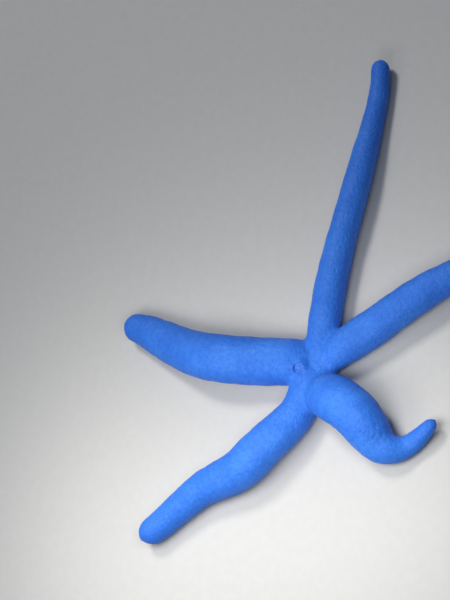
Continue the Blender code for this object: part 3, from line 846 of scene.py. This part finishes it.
def press_relief(mesh):
    """Press plates, pore areas and a slow swell into the skin; nothing stands out past it."""
    random = np.random.default_rng(PLATE_SEED + 1)
    strength = 1.0 - PLATE_RISE_VARIES * random.random(len(plates))
    points = read_points(mesh)
    found = (tree.find_n(point, 3) for point in points)
    first, first_away, third_away = np.array([(one[1], one[2], three[2]) for one, _, three in found]).T
    nearest = first.astype(int)
    step = plate_steps[nearest]
    plate = hill(first_away / (PLATE_REACH * step)) * strength[nearest]
    pore = 1.0 - ease((third_away - first_away) / (PORE_REACH * step))
    turns = points * 2.0 * np.pi / UNDULATION_LENGTH
    waves = [np.sin(count * turns[:, axis] + wander * np.sin(often * turns[:, 1 - axis]) + shift)
             for axis, (count, wander, often, shift) in enumerate(UNDULATION_WAVES)]
    swell = (waves[0] + waves[1]) / 4.0 + 0.5
    keep_note(mesh, "plate", plate)
    keep_note(mesh, "pore", pore)
    scale = np.minimum(1.0, step / plate_steps.max() + SMALL_PLATES_KEEP)
    scale = scale * (1.0 - FEWER_BENEATH * read_note(mesh, "groove"))
    depth = scale * (PLATE_RISE * (1.0 - plate) + PORE_DEPTH * pore + UNDULATION * swell)
    points -= read_normals(mesh) * depth[:, None]
    points[:, 2] = np.maximum(points[:, 2], 0.0)
    write_points(mesh, points)
    print("relief pressed in, at most", depth.max().round(2), "mm deep")


press_relief(skin.data)

# %% [markdown]
# ## Granules
# The whole skin is covered with tiny lime grains, which make it feel like fine sandpaper. A Displace
# modifier with a cell texture raises them in the mesh. Real ones are about half a millimetre across,
# which this net can't hold, so the ones in the mesh are drawn at a millimetre and the fine ones are
# left to the bump in the material.

# %% Grains in the mesh
GRAIN_IN_MESH = 1.05
GRAIN_DEPTH = 0.20


def keep_above(mesh, least):
    """Lift every point that is lower than that to that height over the floor."""
    points = read_points(mesh)
    points[:, 2] = np.maximum(points[:, 2], least)
    write_points(mesh, points)


cells = bpy.data.textures.new("granules", "VORONOI")
cells.distance_metric = "DISTANCE_SQUARED"
cells.noise_scale = GRAIN_IN_MESH * MM
grains = skin.modifiers.new("grains", "DISPLACE")
grains.texture = cells
grains.texture_coords = "LOCAL"
grains.mid_level = 0.0
grains.strength = -GRAIN_DEPTH * MM
apply_modifiers(skin)
keep_above(skin.data, 0.0)
skin.data.shade_smooth()
finished = read_points(skin.data)
print("skin spans", finished.min(axis=0).round(1), "to", finished.max(axis=0).round(1), "mm")

# %% [markdown]
# ## The blue skin
# The blue is a pigment bound in the skin over grains of lime, wet but not glossy: a matt, saturated
# azure with a faint soft sheen at grazing angles. It is a little deeper in the pore areas and towards
# the tips, a little lighter on the plates, and it fades to a pale lilac and cream beneath. The cloudy
# variation is a slow noise. The grain is a cell pattern at the grains' true size, with painted shade
# in the hollows between the grains. A material's colour is built up in coats, so one function lays
# them on, each steered by a note or a pattern.

# %% Coats of colour


def coated(material, colour, coats):
    """Lay coats over a colour: each is (what steers it, where it begins and is full, its most, hex)."""
    for steer, begins, full, most, coat in coats:
        share = add_node(material, "ShaderNodeMapRange", {"Value": steer, "From Min": begins,
                                                          "From Max": full, "To Max": most})
        mixed = add_node(material, "ShaderNodeMix", {MIX_FACTOR: share.outputs["Result"], MIX_A: colour,
                                                     MIX_B: linear(coat)}, data_type="RGBA")
        colour = mixed.outputs[MIX_RESULT]
    return colour


# %% Azure skin
GRANULE = 0.55 * MM       # across, on the animal
CLOUD = 14.0 * MM         # size of the colour's slow clouds
SPECK = 1.6 * MM

azure = new_material("granular_azure_skin")
place = add_node(azure, "ShaderNodeTexCoord").outputs["Object"]
notes = {name: add_node(azure, "ShaderNodeAttribute", attribute_name=name).outputs["Fac"]
         for name in ("plate", "pore", "underside", "groove", "tip")}
clouds = add_node(azure, "ShaderNodeTexNoise", {"Vector": place, "Scale": 1.0 / CLOUD, "Detail": 3.0})
specks = add_node(azure, "ShaderNodeTexNoise", {"Vector": place, "Scale": 1.0 / SPECK, "Detail": 2.0})
granules = add_node(azure, "ShaderNodeTexVoronoi", {"Vector": place, "Scale": 1.0 / GRANULE,
                                                    "Smoothness": 0.35}, feature="SMOOTH_F1")
colour = coated(azure, linear("#3476de"), (
    (clouds.outputs["Fac"], 0.35, 0.65, 1.0, "#4186ea"),
    (specks.outputs["Fac"], 0.4, 0.8, 0.3, "#2468d0"),
    (notes["plate"], 0.2, 1.0, 0.18, "#4894f0"),
    (notes["pore"], 0.1, 1.0, 0.30, "#2259b8"),
    (notes["tip"], 0.0, 1.0, 0.35, "#2a6dd8"),
    (notes["underside"], 0.5, 1.0, 0.6, "#8fa8dc"),
    (notes["groove"], 0.2, 0.9, 0.85, "#cbbd93"),
    # painted shade: this grain coat darkens the hollows between the granules
    (granules.outputs["Distance"], 0.25, 0.6, 0.28, "#1e55b4")))
grain_bump = add_node(azure, "ShaderNodeBump", {"Height": granules.outputs["Distance"], "Strength": 0.5,
                                                "Distance": 0.09 * MM}, invert=True)
dull = add_node(azure, "ShaderNodeMapRange", {"Value": specks.outputs["Fac"], "From Min": 0.3,
                                              "From Max": 0.7, "To Min": 0.5, "To Max": 0.62})
azure_shader = add_node(azure, "ShaderNodeBsdfPrincipled", {
    "Base Color": colour, "Roughness": dull.outputs["Result"], "IOR": 1.45, "Specular IOR Level": 0.25,
    "Sheen Weight": 0.06, "Sheen Roughness": 0.5, "Sheen Tint": linear("#a9c8ff"),
    "Normal": grain_bump.outputs["Normal"]})
finish_material(azure, azure_shader)
skin.data.materials.clear()
skin.data.materials.append(azure)

# %% [markdown]
# ## Pegs
# Tube feet and spines are all small pegs: a line from a root, sunk in the flesh, to a tip, with a radius
# that changes on the way. One function makes them from a few stations, so that a sucker, a blunt
# spine and a rounded knob are only different lists.

# %% One peg
WHEEL_START = (0.36, 0.93, 0.1)     # no peg runs this way, so it tells where a ring's first point is


def peg(root, tip, stations, sides, bow=(0.0, 0.0, 0.0)):
    """A round peg from root to tip; stations are (share of the way, radius), bow bends its middle."""
    root, tip, bow = np.array(root), np.array(tip), np.array(bow)
    axis = (tip - root) / np.linalg.norm(tip - root)
    one = np.cross(axis, WHEEL_START)
    one /= np.linalg.norm(one)
    other = np.cross(axis, one)
    turns = np.arange(sides) * 2.0 * np.pi / sides
    wheel = np.cos(turns)[:, None] * one + np.sin(turns)[:, None] * other
    rings = [root + (tip - root) * share + bow * np.sin(np.pi * min(share, 1.0)) + wheel * radius
             for share, radius in stations]
    return tube(np.array(rings))


# %% What every peg under an arm needs
FLOOR_GAP = 0.02          # what rests on the floor is pressed flat this high over it


def beneath(arm, place, aside, height):
    """A point under an arm: so far aside of the groove's middle, and so high over the underside."""
    middle, across, up, _ = arm.frame(np.array(place))
    aside = aside + arm.groove_aside(place)
    return middle + aside * across + (height - WAIST * arm.height(place)) * up


def tapered(size, least):
    """A share that follows the groove's size, from 1 down to the least one."""
    return least + (1.0 - least) * size


def note_shares(mesh, stations, sides, count):
    """Note for every point of many like pegs how far along its peg it is."""
    keep_note(mesh, "share", np.tile(np.repeat([share for share, _ in stations], sides), count))


# %% [markdown]
# ## Tube feet
# Two rows of tube feet stand in every groove. Each is a soft hollow stalk with a round sucker at its
# end, worked by pressure from within, and no two reach out alike. They are made in one loop and joined
# in one mesh: each is bowed and leant by a seeded random draw, and those under a lifted arm reach
# further down.

# %% Feet in two rows
FOOT_PITCH = 2.7
FOOT_ROW = 0.48           # from the groove's middle, over its half width
FOOT_SUNK = 0.6
FOOT_CLEAR = 0.12         # least distance of a sucker from the floor
FOOT_SIDES = 12
FOOT_FIRST = 6.4          # along the arm
FOOT_LAST = 3.5           # from its tip
FOOT_LEAN = 0.45          # most that a sucker is off its place, forward or aside
FOOT_SPLAY = 0.12         # that every sucker stands farther out than its root
FOOT_REACH = 0.9          # most that one reaches down under a lifted arm
FOOT_DRAWN_UP = 0.9       # most that one is shortened
FOOT_BOW = 0.22           # most that a stalk is bent aside
FOOT_GIRTH = (0.86, 1.08)           # least and most, over the stations' radii
FOOT_CROWDED = 0.35       # least share of the pitch, where the groove is small
FOOT_SEED = 21
FOOT_STATIONS = ((0.0, 0.66), (0.12, 0.55), (0.22, 0.50), (0.30, 0.52), (0.40, 0.45), (0.50, 0.47),
                 (0.60, 0.42), (0.72, 0.43), (0.80, 0.48), (0.87, 0.64), (0.93, 0.74), (0.985, 0.70),
                 (1.0, 0.56), (0.975, 0.30), (0.94, 0.12))


def all_feet():
    random = np.random.default_rng(FOOT_SEED)
    for arm in arms.values():
        place, row = FOOT_FIRST, 0
        while place < arm.length - FOOT_LAST:
            half, depth = arm.groove(place)
            size = depth / GROOVE_DEPTH
            side = (-1.0, 1.0)[row % 2]
            aside = side * FOOT_ROW * half
            root = beneath(arm, place, aside, depth * (1.0 - FOOT_ROW**2) + FOOT_SUNK * size)
            lean = random.uniform(-FOOT_LEAN, FOOT_LEAN, 2) * size
            reach = min(float(arm.lift(place)) + SINK, FOOT_REACH) * random.random()
            height = SINK + FOOT_CLEAR + FOOT_DRAWN_UP * size * random.random() ** 2 - reach
            tip = beneath(arm, place + lean[0], aside + lean[1] + FOOT_SPLAY * side, height)
            tip[2] = max(tip[2], FOOT_CLEAR)
            girth = size * random.uniform(*FOOT_GIRTH)
            stations = [(share, radius * girth) for share, radius in FOOT_STATIONS]
            bow = np.append(random.uniform(-FOOT_BOW, FOOT_BOW, 2), 0.0) * size
            yield peg(root, tip, stations, FOOT_SIDES, bow)
            place += 0.5 * FOOT_PITCH * tapered(size, FOOT_CROWDED)
            row += 1


foot_tubes = list(all_feet())
feet = show("tube_feet", make_mesh("tube_feet", foot_tubes))
keep_above(feet.data, FLOOR_GAP)
note_shares(feet.data, FOOT_STATIONS, FOOT_SIDES, len(foot_tubes))
print("tube feet:", len(foot_tubes))

# %% A noise that colours and bumps


def uneven(material, size, detail, strength, depth):
    """A noise of that size in metres, and the bumps that it makes: its value and their normal."""
    place = add_node(material, "ShaderNodeTexCoord").outputs["Object"]
    noise = add_node(material, "ShaderNodeTexNoise", {"Vector": place, "Scale": 1.0 / size,
                                                      "Detail": detail}).outputs["Fac"]
    bumps = add_node(material, "ShaderNodeBump", {"Height": noise, "Strength": strength,
                                                  "Distance": depth})
    return noise, bumps.outputs["Normal"]


# %% Foot tissue
# Thin wet connective tissue: cream, a little glossy, and warmer towards the sucker.
tissue = new_material("wet_tube_foot_tissue")
share = add_node(tissue, "ShaderNodeAttribute", attribute_name="share").outputs["Fac"]
folds, fold_bumps = uneven(tissue, size=0.35 * MM, detail=3.0, strength=0.4, depth=0.06 * MM)
colour = coated(tissue, linear("#cdbf95"), ((share, 0.1, 0.9, 1.0, "#e6d7a4"),
                                            (folds, 0.45, 0.8, 0.5, "#a48f5c")))
tissue_shader = add_node(tissue, "ShaderNodeBsdfPrincipled", {
    "Base Color": colour, "Roughness": 0.36, "IOR": 1.4, "Subsurface Weight": 0.15,
    "Subsurface Radius": (0.8 * MM, 0.5 * MM, 0.3 * MM), "Subsurface Scale": 1.0,
    "Normal": fold_bumps})
finish_material(tissue, tissue_shader)
feet.data.materials.append(tissue)

# %% [markdown]
# ## Spines along the grooves
# Two rows of blunt spines guard each groove: a fine inner row that leans over the feet, and an outer
# row of thicker knobs, pressed flat where the arm lies on the ground. They are short pegs too.

# %% Two rows of spines
SPINE_PITCH = 1.3
SPINE_SIDES = 8
SPINE_FIRST = 7.0         # along the arm
SPINE_LAST = 4.0          # from its tip
SPINE_OFF = 0.12          # most that a tip is off its place
SPINE_SLIM = 0.3          # least share of its girth, where the groove is small
SPINE_CROWDED = 0.4       # least share of the pitch there
SPINE_UNEVEN = (0.92, 1.08)         # least and most of a step, over the pitch
SPINE_SEED = 31
INNER_ASIDE = (0.93, 0.66)          # of a root and of a tip, over the groove's half width
OUTER_ASIDE = (0.68, 0.86)          # of a root and of a tip, past the groove's edge
ROOT_HEIGHTS = (1.0, 1.1)           # over the underside: of an inner and of an outer spine
TIP_HEIGHTS = (0.14, 0.06)
LEAST_HEIGHTS = (0.06, 0.03)        # of their tips over the floor
INNER_SPINE = ((0.0, 0.30), (0.35, 0.29), (0.7, 0.27), (0.88, 0.22), (0.97, 0.13), (1.0, 0.04))
OUTER_SPINE = ((0.0, 0.46), (0.35, 0.47), (0.7, 0.43), (0.88, 0.33), (0.97, 0.18), (1.0, 0.05))


def spine_pair(arm, place, side, off):
    """An inner and an outer spine at one place, on one side of the groove."""
    half, depth = arm.groove(place)
    size = depth / GROOVE_DEPTH
    slim = tapered(size, SPINE_SLIM)
    asides = ((INNER_ASIDE[0] * half, (INNER_ASIDE[1] + off[1]) * half),
              (half + OUTER_ASIDE[0] * size, half + OUTER_ASIDE[1] * size + off[3]))
    for k, stations in enumerate((INNER_SPINE, OUTER_SPINE)):
        root_aside, tip_aside = asides[k]
        root = beneath(arm, place, side * root_aside, ROOT_HEIGHTS[k] * size)
        tip = beneath(arm, place + off[2 * k], side * tip_aside, SINK + TIP_HEIGHTS[k])
        tip[2] = max(tip[2], LEAST_HEIGHTS[k])
        yield peg(root, tip, [(share, radius * slim) for share, radius in stations], SPINE_SIDES)


def all_spines():
    random = np.random.default_rng(SPINE_SEED)
    for arm in arms.values():
        for side in (-1.0, 1.0):
            place = SPINE_FIRST
            while place < arm.length - SPINE_LAST:
                yield from spine_pair(arm, place, side, random.uniform(-SPINE_OFF, SPINE_OFF, 4))
                crowded = tapered(arm.groove(place)[1] / GROOVE_DEPTH, SPINE_CROWDED)
                place += SPINE_PITCH * crowded * random.uniform(*SPINE_UNEVEN)


# %% Spines of the five jaws
JAW_HEADINGS = (57.0, 131.0, 206.0, 272.0, 348.0)     # between two grooves
JAW_SPINES = 5
JAW_SPINE_STEP = 0.62
JAW_ROOT = (6.0, 1.0)     # distance from the mouth's middle, height over the floor
JAW_TIP = (4.3, 0.35)
JAW_FAN = 0.8             # the tips' places aside, over the roots'


def mouth_spines():
    """A fan of stouter spines on each of the five jaws, pointing in over the mouth."""
    for heading in np.radians(JAW_HEADINGS):
        out = np.array([np.cos(heading), np.sin(heading), 0.0])
        beside = np.array([-out[1], out[0], 0.0])
        for k in range(JAW_SPINES):
            aside = (k - 0.5 * (JAW_SPINES - 1)) * JAW_SPINE_STEP * beside
            root = JAW_ROOT[0] * out + aside + (0.0, 0.0, JAW_ROOT[1])
            tip = JAW_TIP[0] * out + JAW_FAN * aside + (0.0, 0.0, JAW_TIP[1])
            yield peg(root, tip, OUTER_SPINE, SPINE_SIDES)


spine_tubes = [*all_spines(), *mouth_spines()]
spines = show("groove_spines", make_mesh("groove_spines", spine_tubes))
keep_above(spines.data, FLOOR_GAP)
note_shares(spines.data, OUTER_SPINE, SPINE_SIDES, len(spine_tubes))
print("spines:", len(spine_tubes))

# %% Lime under thin skin
# Spines are lime with a thin living skin: chalky and dull, pale blue at the root and cream at the tip.
lime = new_material("skin_covered_lime")
share = add_node(lime, "ShaderNodeAttribute", attribute_name="share").outputs["Fac"]
chalk, chalk_bumps = uneven(lime, size=0.25 * MM, detail=4.0, strength=0.4, depth=0.05 * MM)
colour = coated(lime, linear("#93a6d0"), ((share, 0.3, 1.0, 1.0, "#d9cfae"),
                                          (chalk, 0.45, 0.75, 0.4, "#7f8fb4")))
lime_shader = add_node(lime, "ShaderNodeBsdfPrincipled", {
    "Base Color": colour, "Roughness": 0.6, "IOR": 1.5, "Normal": chalk_bumps})
finish_material(lime, lime_shader)
spines.data.materials.append(lime)

# %% [markdown]
# ## The sieve plate
# The madreporite lies between two arms. Its pores feed the vessels that work the tube feet, and furrows
# run from its middle to its rim. It is a low dome of rings whose height rises and falls round the ring,
# set where the skin was raised for it.

# %% Madreporite
SIEVE_TOP = 0.75          # height of the dome over the plate's middle point
SIEVE_FLATNESS = 0.7      # below 1 the dome is flatter on top and steeper at the rim
SIEVE_SUNK = 0.8          # under that point
SIEVE_FOOT = 0.85         # radius of the sunk foot, over the plate's
SIEVE_HUB = 0.04          # radius of the innermost ring, over the plate's
FURROWS = 22
FURROW_DEPTH = 0.17
FURROW_FULL = 0.45        # over the radius, from where furrows are full; they begin in the middle
FURROW_END = 1.06         # over the radius
FURROW_END_SLOPE = 0.2
# two waves that make the furrows wander: how far, how often over the radius, how often round
FURROW_WAVES = ((0.08, 5.0, 3.0), (0.05, 9.0, 7.0))
SIEVE_SIDES = 176
SIEVE_RINGS = 26


def sieve_dome(share):
    """Height of the plate without furrows, at a share of its radius."""
    return SIEVE_TOP * np.cos(0.5 * np.pi * share) ** SIEVE_FLATNESS


def madreporite_rings():
    turns = np.arange(SIEVE_SIDES) * 2.0 * np.pi / SIEVE_SIDES
    sunk = np.full(SIEVE_SIDES, -SIEVE_SUNK)
    yield sieve_ring(np.full(SIEVE_SIDES, SIEVE_FOOT * SIEVE_RADIUS), sunk, turns)
    for share in np.linspace(1.0, SIEVE_HUB, SIEVE_RINGS):
        reach = np.full(SIEVE_SIDES, share * SIEVE_RADIUS)
        wander = sum(sway * np.sin(outwards * share + around * turns)
                     for sway, outwards, around in FURROW_WAVES)
        furrow = 0.5 + 0.5 * np.cos(FURROWS * (turns + wander))
        furrow = furrow * ease(share / FURROW_FULL) * ease((FURROW_END - share) / FURROW_END_SLOPE)
        yield sieve_ring(reach, sieve_dome(share) - FURROW_DEPTH * furrow, turns)


def sieve_ring(reach, height, turns):
    return (sieve_middle + (reach * np.cos(turns))[:, None] * sieve_right
            + (reach * np.sin(turns))[:, None] * sieve_forward + height[:, None] * sieve_up)


madreporite = show("sieve_plate", make_mesh("sieve_plate", [tube(np.array(list(madreporite_rings())))]))
offsets = read_points(madreporite.data) - sieve_middle
heights = offsets @ sieve_up
reaches = np.linalg.norm(offsets - heights[:, None] * sieve_up, axis=1) / SIEVE_RADIUS
crest = sieve_dome(np.clip(reaches, 0.0, 1.0))
# how deep a point lies in a furrow; the material darkens it there as painted shade
keep_note(madreporite.data, "furrow", np.clip((crest - heights) / FURROW_DEPTH, 0.0, 1.0))

# %% Stained lime, with painted shade in its furrows
# The plate is bare lime, stained by the blue around it: dull, paler on its crests, with painted shade dark
# in its furrows.
stained_shaded_lime = new_material("blue_lime_with_painted_furrow_shade")
furrow = add_node(stained_shaded_lime, "ShaderNodeAttribute", attribute_name="furrow").outputs["Fac"]
pits, pit_bumps = uneven(stained_shaded_lime, size=0.22 * MM, detail=4.0, strength=0.4, depth=0.05 * MM)
# painted shade: the furrow coat darkens the lime the deeper a point lies in a furrow
colour = coated(stained_shaded_lime, linear("#5996ee"), ((furrow, 0.1, 0.9, 1.0, "#1e58be"),
                                             (pits, 0.45, 0.8, 0.4, "#4284de")))
stained_shader = add_node(stained_shaded_lime, "ShaderNodeBsdfPrincipled", {
    "Base Color": colour, "Roughness": 0.62, "IOR": 1.5, "Normal": pit_bumps})
finish_material(stained_shaded_lime, stained_shader)
madreporite.data.materials.append(stained_shaded_lime)

# %% [markdown]
# ## The mouth
# The mouth has no teeth. A soft membrane closes it, drawn together like the neck of a purse, with folds
# that run to the middle. It is one turned body, dished beneath, with folds pressed into its lower side.

# %% Membrane
MEMBRANE_REACH = 5.0
MEMBRANE_LOW = 3.4        # height of its lowest ring over the floor
MEMBRANE_TOP = 4.9
MEMBRANE_HUB = 0.12       # radius of the innermost ring
MEMBRANE_SIDES = 144
MEMBRANE_RINGS = 30
PUCKER_RISE = 1.2         # of the middle, where the membrane is drawn in
PUCKER_REACH = 1.5
RIM_RISE = 0.5
RIM_FROM = 3.3            # from the middle, where the rim begins to rise
RIM_SLOPE = 1.4           # over which it does
FOLDS = 17
FOLD_DEPTH = 0.22
FOLD_FULL = 0.6           # from the middle, where folds are full
FOLD_END = 4.4            # from the middle
FOLD_END_SLOPE = 3.0
FOLD_SWAY = (0.8, 1.7, 2.0)     # how far folds sway, how often outwards, how often round


def membrane_rings():
    turns = np.arange(MEMBRANE_SIDES) * 2.0 * np.pi / MEMBRANE_SIDES
    sway, outwards, around = FOLD_SWAY
    for reach in np.linspace(MEMBRANE_HUB, MEMBRANE_REACH, MEMBRANE_RINGS):
        pucker = PUCKER_RISE * ease(1.0 - reach / PUCKER_REACH)
        rim = RIM_RISE * ease((reach - RIM_FROM) / RIM_SLOPE)
        fold = 0.5 + 0.5 * np.cos(FOLDS * turns + sway * np.sin(outwards * reach + around * turns))
        fold = fold * ease(reach / FOLD_FULL) * ease((FOLD_END - reach) / FOLD_END_SLOPE)
        height = MEMBRANE_LOW + pucker + rim + FOLD_DEPTH * fold
        yield np.stack([reach * np.cos(turns), reach * np.sin(turns), height], axis=1)
    for reach in (MEMBRANE_REACH, MEMBRANE_HUB):
        yield np.stack([reach * np.cos(turns), reach * np.sin(turns), 0.0 * turns + MEMBRANE_TOP], axis=1)


membrane = show("mouth_membrane", make_mesh("mouth_membrane", [tube(np.array(list(membrane_rings())))]))

# %% Membrane tissue
# Soft wet skin without grains: smoother and glossier than the rest, tan, browner towards the middle.
lips = new_material("wet_mouth_skin")
place = add_node(lips, "ShaderNodeTexCoord").outputs["Object"]
apart = add_node(lips, "ShaderNodeVectorMath", {0: place, 1: (*CENTRE[:2].tolist(), MEMBRANE_LOW * MM)},
                 operation="DISTANCE")
wrinkles, wrinkle_bumps = uneven(lips, size=0.6 * MM, detail=4.0, strength=0.5, depth=0.12 * MM)
colour = coated(lips, linear("#6d4a2c"), ((apart.outputs["Value"], 0.6 * MM, 3.6 * MM, 1.0, "#c3a878"),
                                          (wrinkles, 0.4, 0.75, 0.4, "#8b6f49")))
lips_shader = add_node(lips, "ShaderNodeBsdfPrincipled", {
    "Base Color": colour, "Roughness": 0.4, "IOR": 1.4, "Normal": wrinkle_bumps})
finish_material(lips, lips_shader)
membrane.data.materials.append(lips)

# %% [markdown]
# ## Tips of the arms
# Every arm ends in a small bare plate, the only place without grains, and under it sits a red eyespot
# that tells light from dark. The plates are short round pegs, set half into the tip.

# %% End plates and eyespots
END_PLATE = ((0.0, 0.9), (0.35, 1.0), (0.6, 0.97), (0.78, 0.85), (0.9, 0.65), (0.97, 0.38), (1.0, 0.12))
END_PLATE_SIZE = 0.13     # its radius, over the arm's last width
END_PLATE_STANDS = -0.15  # past the arm's length; the relief sinks the skin further than that
END_PLATE_SUNK = 1.6
END_PLATE_LIFT = 0.2      # over the tip's middle, over the plate's radius
END_PLATE_SIDES = 24
EYESPOT = 0.30            # radius
EYESPOT_LOW = 0.30        # under the tip's middle, over the arm's height there
EYESPOT_BACK = 0.11       # behind the arm's end, over its width there, where the rounded tip's skin is
EYESPOT_SUNK = 0.9
EYESPOT_STANDS = 0.1
EYESPOT_SIDES = 16


def end_plates():
    for arm in arms.values():
        middle, _, up, forward = arm.frame(np.array(arm.length))
        radius = END_PLATE_SIZE * arm.width(arm.length)
        lifted = middle + END_PLATE_LIFT * radius * up
        yield peg(lifted - END_PLATE_SUNK * forward, lifted + END_PLATE_STANDS * forward,
                  [(share, radius * size) for share, size in END_PLATE], END_PLATE_SIDES)


def eyespots():
    for arm in arms.values():
        middle, _, up, forward = arm.frame(np.array(arm.length))
        low = middle - EYESPOT_LOW * arm.height(arm.length) * up
        skin_spot = low - EYESPOT_BACK * arm.width(arm.length) * forward
        yield peg(skin_spot - EYESPOT_SUNK * forward, skin_spot + EYESPOT_STANDS * forward,
                  [(share, EYESPOT * size) for share, size in END_PLATE], EYESPOT_SIDES)


tips = show("end_plates", make_mesh("end_plates", list(end_plates())))
eyes = show("eyespots", make_mesh("eyespots", list(eyespots())))

# %% Bare plate and red pigment
# The end plate is smooth lime under thin blue skin. The eyespot is a wet cup of red pigment.
bare = new_material("smooth_blue_lime")
shade, shade_bumps = uneven(bare, size=0.8 * MM, detail=3.0, strength=0.3, depth=0.08 * MM)
colour = coated(bare, linear("#3a78e2"), ((shade, 0.35, 0.7, 1.0, "#1e50bf"),))
bare_shader = add_node(bare, "ShaderNodeBsdfPrincipled", {
    "Base Color": colour, "Roughness": 0.45, "IOR": 1.5, "Normal": shade_bumps})
finish_material(bare, bare_shader)
tips.data.materials.append(bare)

PIGMENT_DOT = 0.15 * MM
red = new_material("red_eyespot_pigment")
place = add_node(red, "ShaderNodeTexCoord").outputs["Object"]
dots = add_node(red, "ShaderNodeTexVoronoi", {"Vector": place, "Scale": 1.0 / PIGMENT_DOT})
colour = coated(red, linear("#8e1512"), ((dots.outputs["Distance"], 0.0, 1.0, 1.0, "#c43a2a"),))
red_shader = add_node(red, "ShaderNodeBsdfPrincipled", {"Base Color": colour, "Roughness": 0.3, "IOR": 1.4})
finish_material(red, red_shader)
eyes.data.materials.append(red)

# %% [markdown]
# ## Hang everything on the model
# The sea star has no joints, so every piece rides on its one body. The packed solids of the disc, the
# arms' lengths, the sieve plate and the mouth are hidden, and the skin, the new sieve plate and the
# membrane are seen in their place.

# %% Pieces, bodies and slots
FLESH = [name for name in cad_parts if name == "disc" or name.startswith("arm_")]
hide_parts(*FLESH)
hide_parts("madreporite")
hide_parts("mouth")
for piece, slot in ((skin, "skin_disc"), (tips, "skin_disc"), (madreporite, "madreporite"),
                    (membrane, "mouth_membrane"), (feet, "mouth_membrane"), (spines, "madreporite"),
                    (eyes, "mouth_membrane")):
    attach(piece, "root")
